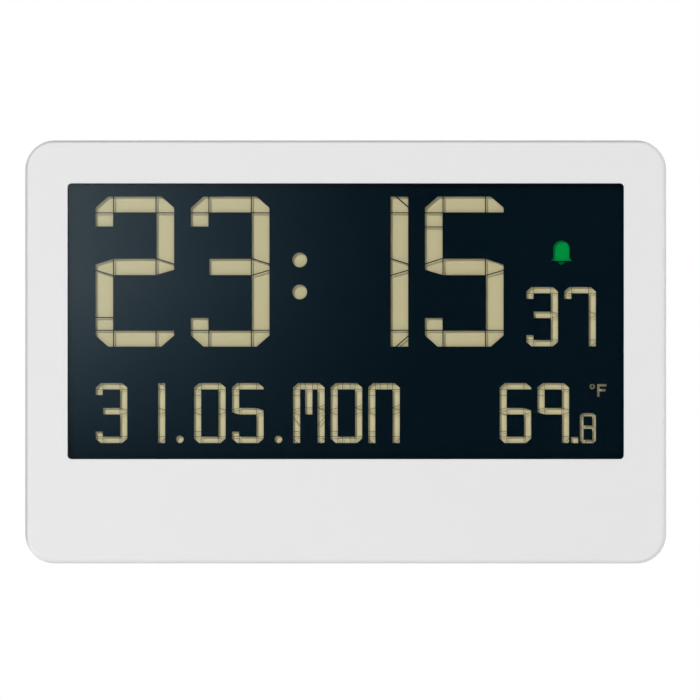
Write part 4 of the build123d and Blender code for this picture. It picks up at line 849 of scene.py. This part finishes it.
# %% Sleeve finish
SLEEVE_INPUTS = [
    ("Sleeve", COLOUR, (0.105, 0.125, 0.150, 1)),
    ("Band", COLOUR, (0.560, 0.570, 0.580, 1)),
    ("Line", COLOUR, (0.500, 0.190, 0.030, 1)),
    ("Band Start", NUMBER, 0.72),
    ("Band End", NUMBER, 0.955),
]
SLEEVE_OUTPUTS = SURFACE_OUTPUTS + [("Metal", NUMBER)]
LINE_WIDTH = 0.025
END_STEEL = (0.60, 0.60, 0.59, 1)
SCUFF_SCALE = 60.0
SCUFF_DETAIL = 4.0
SLEEVE_SMOOTH = 0.20
SLEEVE_ROUGH = 0.32
SLEEVE_DEPTH = 0.005 * MM


def stored_number(tree, name):
    """A number that the mesh keeps at each of its points."""
    node = tree.nodes.new("ShaderNodeAttribute")
    node.attribute_name = name
    return node.outputs["Fac"]


sleeve, given, result = new_group("cell_sleeve", SLEEVE_INPUTS, SLEEVE_OUTPUTS)
along = stored_number(sleeve, "along")
bare = stored_number(sleeve, "bare_steel")
line_start = sums(sleeve, "SUBTRACT", given["Band Start"], LINE_WIDTH)
print_layers = (
    ("Line", line_start),
    ("Band", given["Band Start"]),
    ("Sleeve", given["Band End"]),
)
coat = given["Sleeve"]
for colour_name, start in print_layers:
    past_start = sums(sleeve, "GREATER_THAN", along, start)
    coat = mix_colours(sleeve, past_start, coat, given[colour_name])
scuff = noise(sleeve, object_place(sleeve), SCUFF_SCALE, SCUFF_DETAIL)
gloss = rescaled(sleeve, scuff, 0.0, 1.0, SLEEVE_SMOOTH, SLEEVE_ROUGH)
feed(sleeve, result["Colour"], mix_colours(sleeve, bare, coat, END_STEEL))
feed(sleeve, result["Roughness"], gloss)
feed(sleeve, result["Height"], scuff)
feed(sleeve, result["Metal"], bare)
cell_wrap = finish_with(sleeve, "cell_wrap", {}, bump=0.05, depth=SLEEVE_DEPTH)
print("finish:", cell_wrap.name)

# %% [markdown]
# ## Spinning and finishing a piece
# The cells and the round signs are the same all the way round. A cylinder could be cut
# into shape, but half an outline of a few points says more: its corners are rounded,
# and the line is spun about an axis, as on a lathe. Every new piece then has its double
# points merged and its faces turned outwards, and rides on a body of the clock.

# %% Spun shapes and pieces
SPIN_STEPS = 72
ROUND_STEPS = 4
MERGE_DISTANCE = 0.001 * MM
SHARP_ANGLE = math.radians(35)


def full_turn(shape, axis, steps):
    """Spins all lines of a bmesh once round an axis through the origin."""
    bmesh.ops.spin(
        shape,
        geom=shape.verts[:] + shape.edges[:],
        axis=axis,
        cent=(0, 0, 0),
        angle=math.tau,
        steps=steps,
        use_merge=True,
    )


def spun_outline(outline, steps=SPIN_STEPS):
    """A bmesh spun about X from points given as along, radius and rounding."""
    shape = bmesh.new()
    points = [shape.verts.new((x, radius, 0)) for x, radius, _ in outline]
    for first, second in zip(points, points[1:]):
        shape.edges.new((first, second))
    for point, (_, _, rounding) in zip(points[1:-1], outline[1:-1]):
        round_off(shape, [point], rounding, "VERTICES", ROUND_STEPS)
    full_turn(shape, (1, 0, 0), steps)
    return shape


def add_piece(name, shape, body, finish):
    """A finished piece from a bmesh, riding on a body of the clock."""
    bmesh.ops.remove_doubles(shape, verts=shape.verts, dist=MERGE_DISTANCE)
    bmesh.ops.recalc_face_normals(shape, faces=shape.faces)
    for face in shape.faces:
        face.smooth = True
    mesh = bpy.data.meshes.new(name)
    shape.to_mesh(mesh)
    shape.free()
    mesh.materials.append(finish)
    mesh.set_sharp_from_angle(angle=SHARP_ANGLE)
    piece = bpy.data.objects.new(name, mesh)
    scene.collection.objects.link(piece)
    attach(piece, body)
    return piece


print("steps in a full turn:", SPIN_STEPS, "and in a rounded corner:", ROUND_STEPS)

# %% [markdown]
# ## Batteries
# Two cells lie head to tail in the tub behind the door. Their plain solids have the
# right size, but a cell is known by its details: the sleeve curls over both ends, with
# a groove between its lip and the steel of the base and the nub. All of that is in one
# half outline, so each cell is spun in one go and takes the place of its solid.

# %% Battery cells
LIP_RADIUS = 5.6 * MM
LIP_CURL = 0.3 * MM
NUB_RADIUS = 2.75 * MM
NUB_LENGTH = 1.5 * MM
NUB_FLARE = 0.15 * MM
GROOVE = 0.4 * MM
STEEL_RADIUS = 5.0 * MM
STEEL_FLARE = 0.2 * MM
STEEL_MARGIN = 0.05 * MM
SLEEVE_INSET = 0.15 * MM
SOFT_EDGE = 0.1 * MM
SHOULDER_EDGE = 0.7 * MM
NUB_EDGE = 0.35 * MM


def cell_outline(length, radius):
    """Half a cell from base to nub: along, radius and rounding of each corner."""
    shoulder = length - NUB_LENGTH
    curl = LIP_RADIUS + LIP_CURL
    return [
        (0, 0, 0),
        (0, STEEL_RADIUS, SOFT_EDGE),
        (GROOVE, STEEL_RADIUS + STEEL_FLARE, SOFT_EDGE),
        (GROOVE, LIP_RADIUS, SOFT_EDGE),
        (SLEEVE_INSET, curl, SOFT_EDGE),
        (SLEEVE_INSET, radius, SHOULDER_EDGE),
        (shoulder, radius, SHOULDER_EDGE),
        (shoulder, curl, SOFT_EDGE),
        (shoulder - GROOVE, LIP_RADIUS, SOFT_EDGE),
        (shoulder - GROOVE, NUB_RADIUS + NUB_FLARE, SOFT_EDGE),
        (length, NUB_RADIUS, NUB_EDGE),
        (length, 0, 0),
    ]


def battery_cell(node_name, nub_left):
    """A cell in the place of its plain solid."""
    low, high = (Vector(corner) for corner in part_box(node_name))
    length = high.x - low.x
    shape = spun_outline(cell_outline(length, (high.z - low.z) / 2))
    along_layer = shape.verts.layers.float.new("along")
    steel_layer = shape.verts.layers.float.new("bare_steel")
    for vert in shape.verts:
        off_axis = math.hypot(vert.co.y, vert.co.z)
        vert[along_layer] = vert.co.x / length
        vert[steel_layer] = 1.0 if off_axis < LIP_RADIUS - STEEL_MARGIN else 0.0
    if nub_left:
        bmesh.ops.rotate(shape, matrix=Matrix.Rotation(math.pi, 3, "Z"), verts=shape.verts)
    start = high.x if nub_left else low.x
    middle = (low + high) / 2
    bmesh.ops.translate(shape, vec=(start, middle.y, middle.z), verts=shape.verts)
    cell = add_piece(node_name + "_cell", shape, "case", cell_wrap)
    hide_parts(node_name)
    return cell


for node_name, nub_left in (("battery_upper", True), ("battery_lower", False)):
    cell = battery_cell(node_name, nub_left)
    print(cell.name, "faces:", len(cell.data.polygons))

# %% [markdown]
# ## Bars of the button signs
# Each button carries a small moulded sign, drawn flat in millimetres. Curves could draw
# its strokes, but boxes are easier to size and to round. A bar is a box with rounded
# edges, sunk a little into the button. Bars that meet could be laid across each other,
# but then faces would lie inside faces, so they grow out of one small box.

# %% Sign bars
SIGN_SINK = 0.06
SIGN_RISE = 0.16
SIGN_EDGE = 0.05
SIGN_EDGE_STEPS = 2
FLAT_ANGLE = 0.1
sign_depth = SIGN_RISE + SIGN_SINK
sign_lift = (SIGN_RISE - SIGN_SINK) / 2


def merge_into(shape, part):
    """Adds one bmesh to another."""
    passing = bpy.data.meshes.new("passing")
    part.to_mesh(passing)
    part.free()
    shape.from_mesh(passing)
    bpy.data.meshes.remove(passing)


def add_box(shape, width, height, x=0.0, y=0.0):
    """The corners of a new box whose back is sunk into the button's face."""
    size = Matrix.Diagonal((width, height, sign_depth, 1))
    spot = Matrix.Translation((x, y, sign_lift)) @ size
    return bmesh.ops.create_cube(shape, size=1.0, matrix=spot)["verts"]


def add_bar(shape, width, height, x=0.0, y=0.0):
    """A bar with soft edges."""
    corners = set(add_box(shape, width, height, x, y))
    edges = [edge for edge in shape.edges if edge.verts[0] in corners]
    round_off(shape, edges, SIGN_EDGE, "EDGES", SIGN_EDGE_STEPS)


def add_arms(shape, width, reaches):
    """Bars that meet in one middle, each grown from a side of a small box."""
    cross = bmesh.new()
    add_box(cross, width, width)
    for direction, reach in reaches:
        side = max(cross.faces, key=lambda face: face.calc_center_median().dot(direction))
        grown = bmesh.ops.extrude_discrete_faces(cross, faces=[side])["faces"][0]
        bmesh.ops.translate(cross, vec=direction * reach, verts=grown.verts)
    edges = [edge for edge in cross.edges if edge.calc_face_angle(0) > FLAT_ANGLE]
    round_off(cross, edges, SIGN_EDGE, "EDGES", SIGN_EDGE_STEPS)
    merge_into(shape, cross)


print("signs rise above their buttons by mm:", SIGN_RISE)

# %% [markdown]
# ## Round strokes of the signs
# A ring and a bell are round. They could be cut from flat discs, but a spin gives a
# ring its soft edges all round at once. A bell or a bulb is spun upright as a full
# round body, then pressed almost flat, as a relief in a mould is.

# %% Sign rings and reliefs
RING_STEPS = 40
RELIEF_EDGE = 0.08
RELIEF_STEPS = 32


def add_ring(shape, radius, width):
    """A flat ring, spun from a small square."""
    ring = bmesh.new()
    upright = Matrix.Translation((radius, 0, sign_lift)) @ Matrix.Rotation(math.radians(90), 4, "X")
    size = Matrix.Diagonal((width, sign_depth, 1, 1))
    bmesh.ops.create_grid(ring, x_segments=1, y_segments=1, size=0.5, matrix=upright @ size)
    round_off(ring, ring.verts[:], SIGN_EDGE, "VERTICES", SIGN_EDGE_STEPS)
    bmesh.ops.delete(ring, geom=ring.faces[:], context="FACES_ONLY")
    full_turn(ring, (0, 0, 1), RING_STEPS)
    merge_into(shape, ring)


def add_pressed(shape, outline):
    """A round outline spun upright, then pressed to a low relief."""
    relief = spun_outline([(x, radius, RELIEF_EDGE) for x, radius in outline], RELIEF_STEPS)
    bmesh.ops.rotate(relief, matrix=Matrix.Rotation(math.radians(90), 3, "Z"), verts=relief.verts)
    widest = max(radius for _, radius in outline)
    bmesh.ops.scale(relief, vec=(1, 1, SIGN_RISE / widest), verts=relief.verts)
    merge_into(shape, relief)


print("steps round a ring:", RING_STEPS, "and round a relief:", RELIEF_STEPS)

# %% [markdown]
# ## Five signs
# The buttons set the time, set the alarm, go up, go down and change the degrees. Words
# could say so, but signs need no language: a dial with hands, a bell, a plus, a minus
# and a thermometer. Each is a short function that puts together the strokes above, so
# that one can be redrawn without touching the others.

# %% Sign shapes
RIGHT = Vector((1, 0, 0))
UP = Vector((0, 1, 0))
DIAL_RADIUS = 1.4
DIAL_WIDTH = 0.42
HAND_WIDTH = 0.34
LONG_HAND = 0.62
SHORT_HAND = 0.46
STROKE_WIDTH = 0.62
PLUS_REACH = 1.14
MINUS_LENGTH = 2.9
BELL_OUTLINE = [
    (1.75, 0),
    (1.7, 0.35),
    (1.2, 0.85),
    (-0.4, 1.05),
    (-0.9, 1.55),
    (-1.1, 1.55),
    (-1.1, 0),
]
CLAPPER_OUTLINE = [(-1.15, 0), (-1.2, 0.42), (-1.6, 0.36), (-1.65, 0)]
THERMOMETER_OUTLINE = [
    (1.8, 0),
    (1.75, 0.38),
    (-0.35, 0.38),
    (-0.75, 0.78),
    (-1.25, 0.78),
    (-1.65, 0.3),
    (-1.65, 0),
]
MARK_WIDTH = 0.7
MARK_STROKE = 0.24
MARK_X = 1.0
MARK_HEIGHTS = (1.25, 0.65, 0.05)


def clock_sign(shape):
    """A dial with two hands."""
    add_ring(shape, DIAL_RADIUS, DIAL_WIDTH)
    add_arms(shape, HAND_WIDTH, [(UP, LONG_HAND), (RIGHT, SHORT_HAND)])


def bell_sign(shape):
    """A bell with its clapper."""
    add_pressed(shape, BELL_OUTLINE)
    add_pressed(shape, CLAPPER_OUTLINE)


def plus_sign(shape):
    """Four arms from one middle."""
    add_arms(shape, STROKE_WIDTH, [(way, PLUS_REACH) for way in (RIGHT, -RIGHT, UP, -UP)])


def minus_sign(shape):
    """One bar."""
    add_bar(shape, MINUS_LENGTH, STROKE_WIDTH)


def thermometer_sign(shape):
    """A tube with its bulb, and three marks beside it."""
    add_pressed(shape, THERMOMETER_OUTLINE)
    for height in MARK_HEIGHTS:
        add_bar(shape, MARK_WIDTH, MARK_STROKE, MARK_X, height)


SIGNS = {
    "set_button": clock_sign,
    "alarm_button": bell_sign,
    "plus_button": plus_sign,
    "minus_button": minus_sign,
    "units_button": thermometer_sign,
}
print("signs for:", ", ".join(SIGNS))

# %% [markdown]
# ## Signs on the buttons
# The signs are on the back of the clock, so each is turned to be read from behind and
# stands in the middle of its button. It could be joined to the button's own mesh, but a
# CAD solid is never changed. So it is a piece of its own that rides on the button's
# body, and goes in with it when it is pressed.

# %% Button signs
FROM_BEHIND = Matrix(((-1, 0, 0), (0, 0, 1), (0, 1, 0))).to_4x4()

sign_white = inner_finishes["holder_white"]
for button_name, draw in SIGNS.items():
    low, high = (Vector(corner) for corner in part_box(button_name))
    shape = bmesh.new()
    draw(shape)
    bmesh.ops.scale(shape, vec=(MM, MM, MM), verts=shape.verts)
    bmesh.ops.transform(shape, matrix=FROM_BEHIND, verts=shape.verts)
    spot = ((low.x + high.x) / 2, high.y, (low.z + high.z) / 2)
    bmesh.ops.translate(shape, vec=spot, verts=shape.verts)
    sign = add_piece(button_name + "_sign", shape, button_name, sign_white)
    print(sign.name, "at mm:", [round(side / MM, 2) for side in spot])

# %% [markdown]
# ## ON and OFF
# The alarm's slide switch has ON and OFF beside it, raised a hair above the panel's
# floor. The letters could be built from bars like the signs, but a text object already
# has good curves. It is made a mesh before it is turned and placed, so that its place
# is in its mesh.

# %% Switch words
LETTER_HEIGHT = 2.2 * MM
CAPITAL_SHARE = 0.7
LETTER_RISE = 0.10 * MM
LETTER_EDGE = 0.02 * MM
LETTER_CURVE_STEPS = 4
PANEL_DEPTH = 1.6 * MM
WORD_GAP = 1.5 * MM
SLOT_BEFORE = 2.7 * MM
SLOT_AFTER = 5.7 * MM


def switch_word(word, side, edge, middle_z):
    """A raised word whose left or right side, seen from behind, is at edge."""
    letters = bpy.data.curves.new("switch_" + word, "FONT")
    letters.body = word
    letters.size = LETTER_HEIGHT / CAPITAL_SHARE
    letters.align_y = "CENTER"
    letters.align_x = side
    letters.extrude = LETTER_RISE
    letters.bevel_depth = LETTER_EDGE
    letters.resolution_u = LETTER_CURVE_STEPS
    draft = bpy.data.objects.new("switch_" + word, letters)
    mesh = bpy.data.meshes.new_from_object(draft)
    bpy.data.objects.remove(draft)
    shape = bmesh.new()
    shape.from_mesh(mesh)
    bpy.data.meshes.remove(mesh)
    bmesh.ops.transform(shape, matrix=FROM_BEHIND, verts=shape.verts)
    bmesh.ops.translate(shape, vec=(edge, -PANEL_DEPTH, middle_z), verts=shape.verts)
    ink = inner_finishes["black_parts"]
    return add_piece("switch_word_" + word.lower(), shape, "case", ink)


slider_low, slider_high = (Vector(corner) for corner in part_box("alarm_slider"))
slider_middle = (slider_low + slider_high) / 2
on_edge = slider_middle.x - SLOT_BEFORE - WORD_GAP
off_edge = slider_middle.x + SLOT_AFTER + WORD_GAP
for word, side, edge in (("ON", "LEFT", on_edge), ("OFF", "RIGHT", off_edge)):
    made = switch_word(word, side, edge, slider_middle.z)
    print(made.name, "faces:", len(made.data.polygons))

# %% [markdown]
# ## Dress the solids
# Each solid has one material slot, named in the record for what it is made of. The
# finishes could be given out solid by solid, but the slot already says which one
# belongs, so the finish with that name goes in. The tape round the window is smoother
# than other rubber, and the rear parts are coarser than the front, so these few have
# their own.

# %% Assign finishes
finishes = {
    **inner_finishes,
    "white_case": case_white,
    "lens_clear": lens_clear,
    "display_dark": display_dark,
    "display_pale": display_pale,
    "icon_green": icon_green,
    "cell_wrap": cell_wrap,
}
OWN_FINISHES = {
    "lens_tape": gloss_black_tape,
    "rear_cover": rear_white,
    "stand": rear_white,
    "battery_door": rear_white,
}

slots = [slot for node in nodes.values() for slot in node.material_slots]
for slot in slots:
    slot.material = finishes[slot.material.name]
for node_name, finish in OWN_FINISHES.items():
    nodes[node_name].material_slots[0].material = finish
print("slots dressed:", len(slots), "with their own finish:", len(OWN_FINISHES))
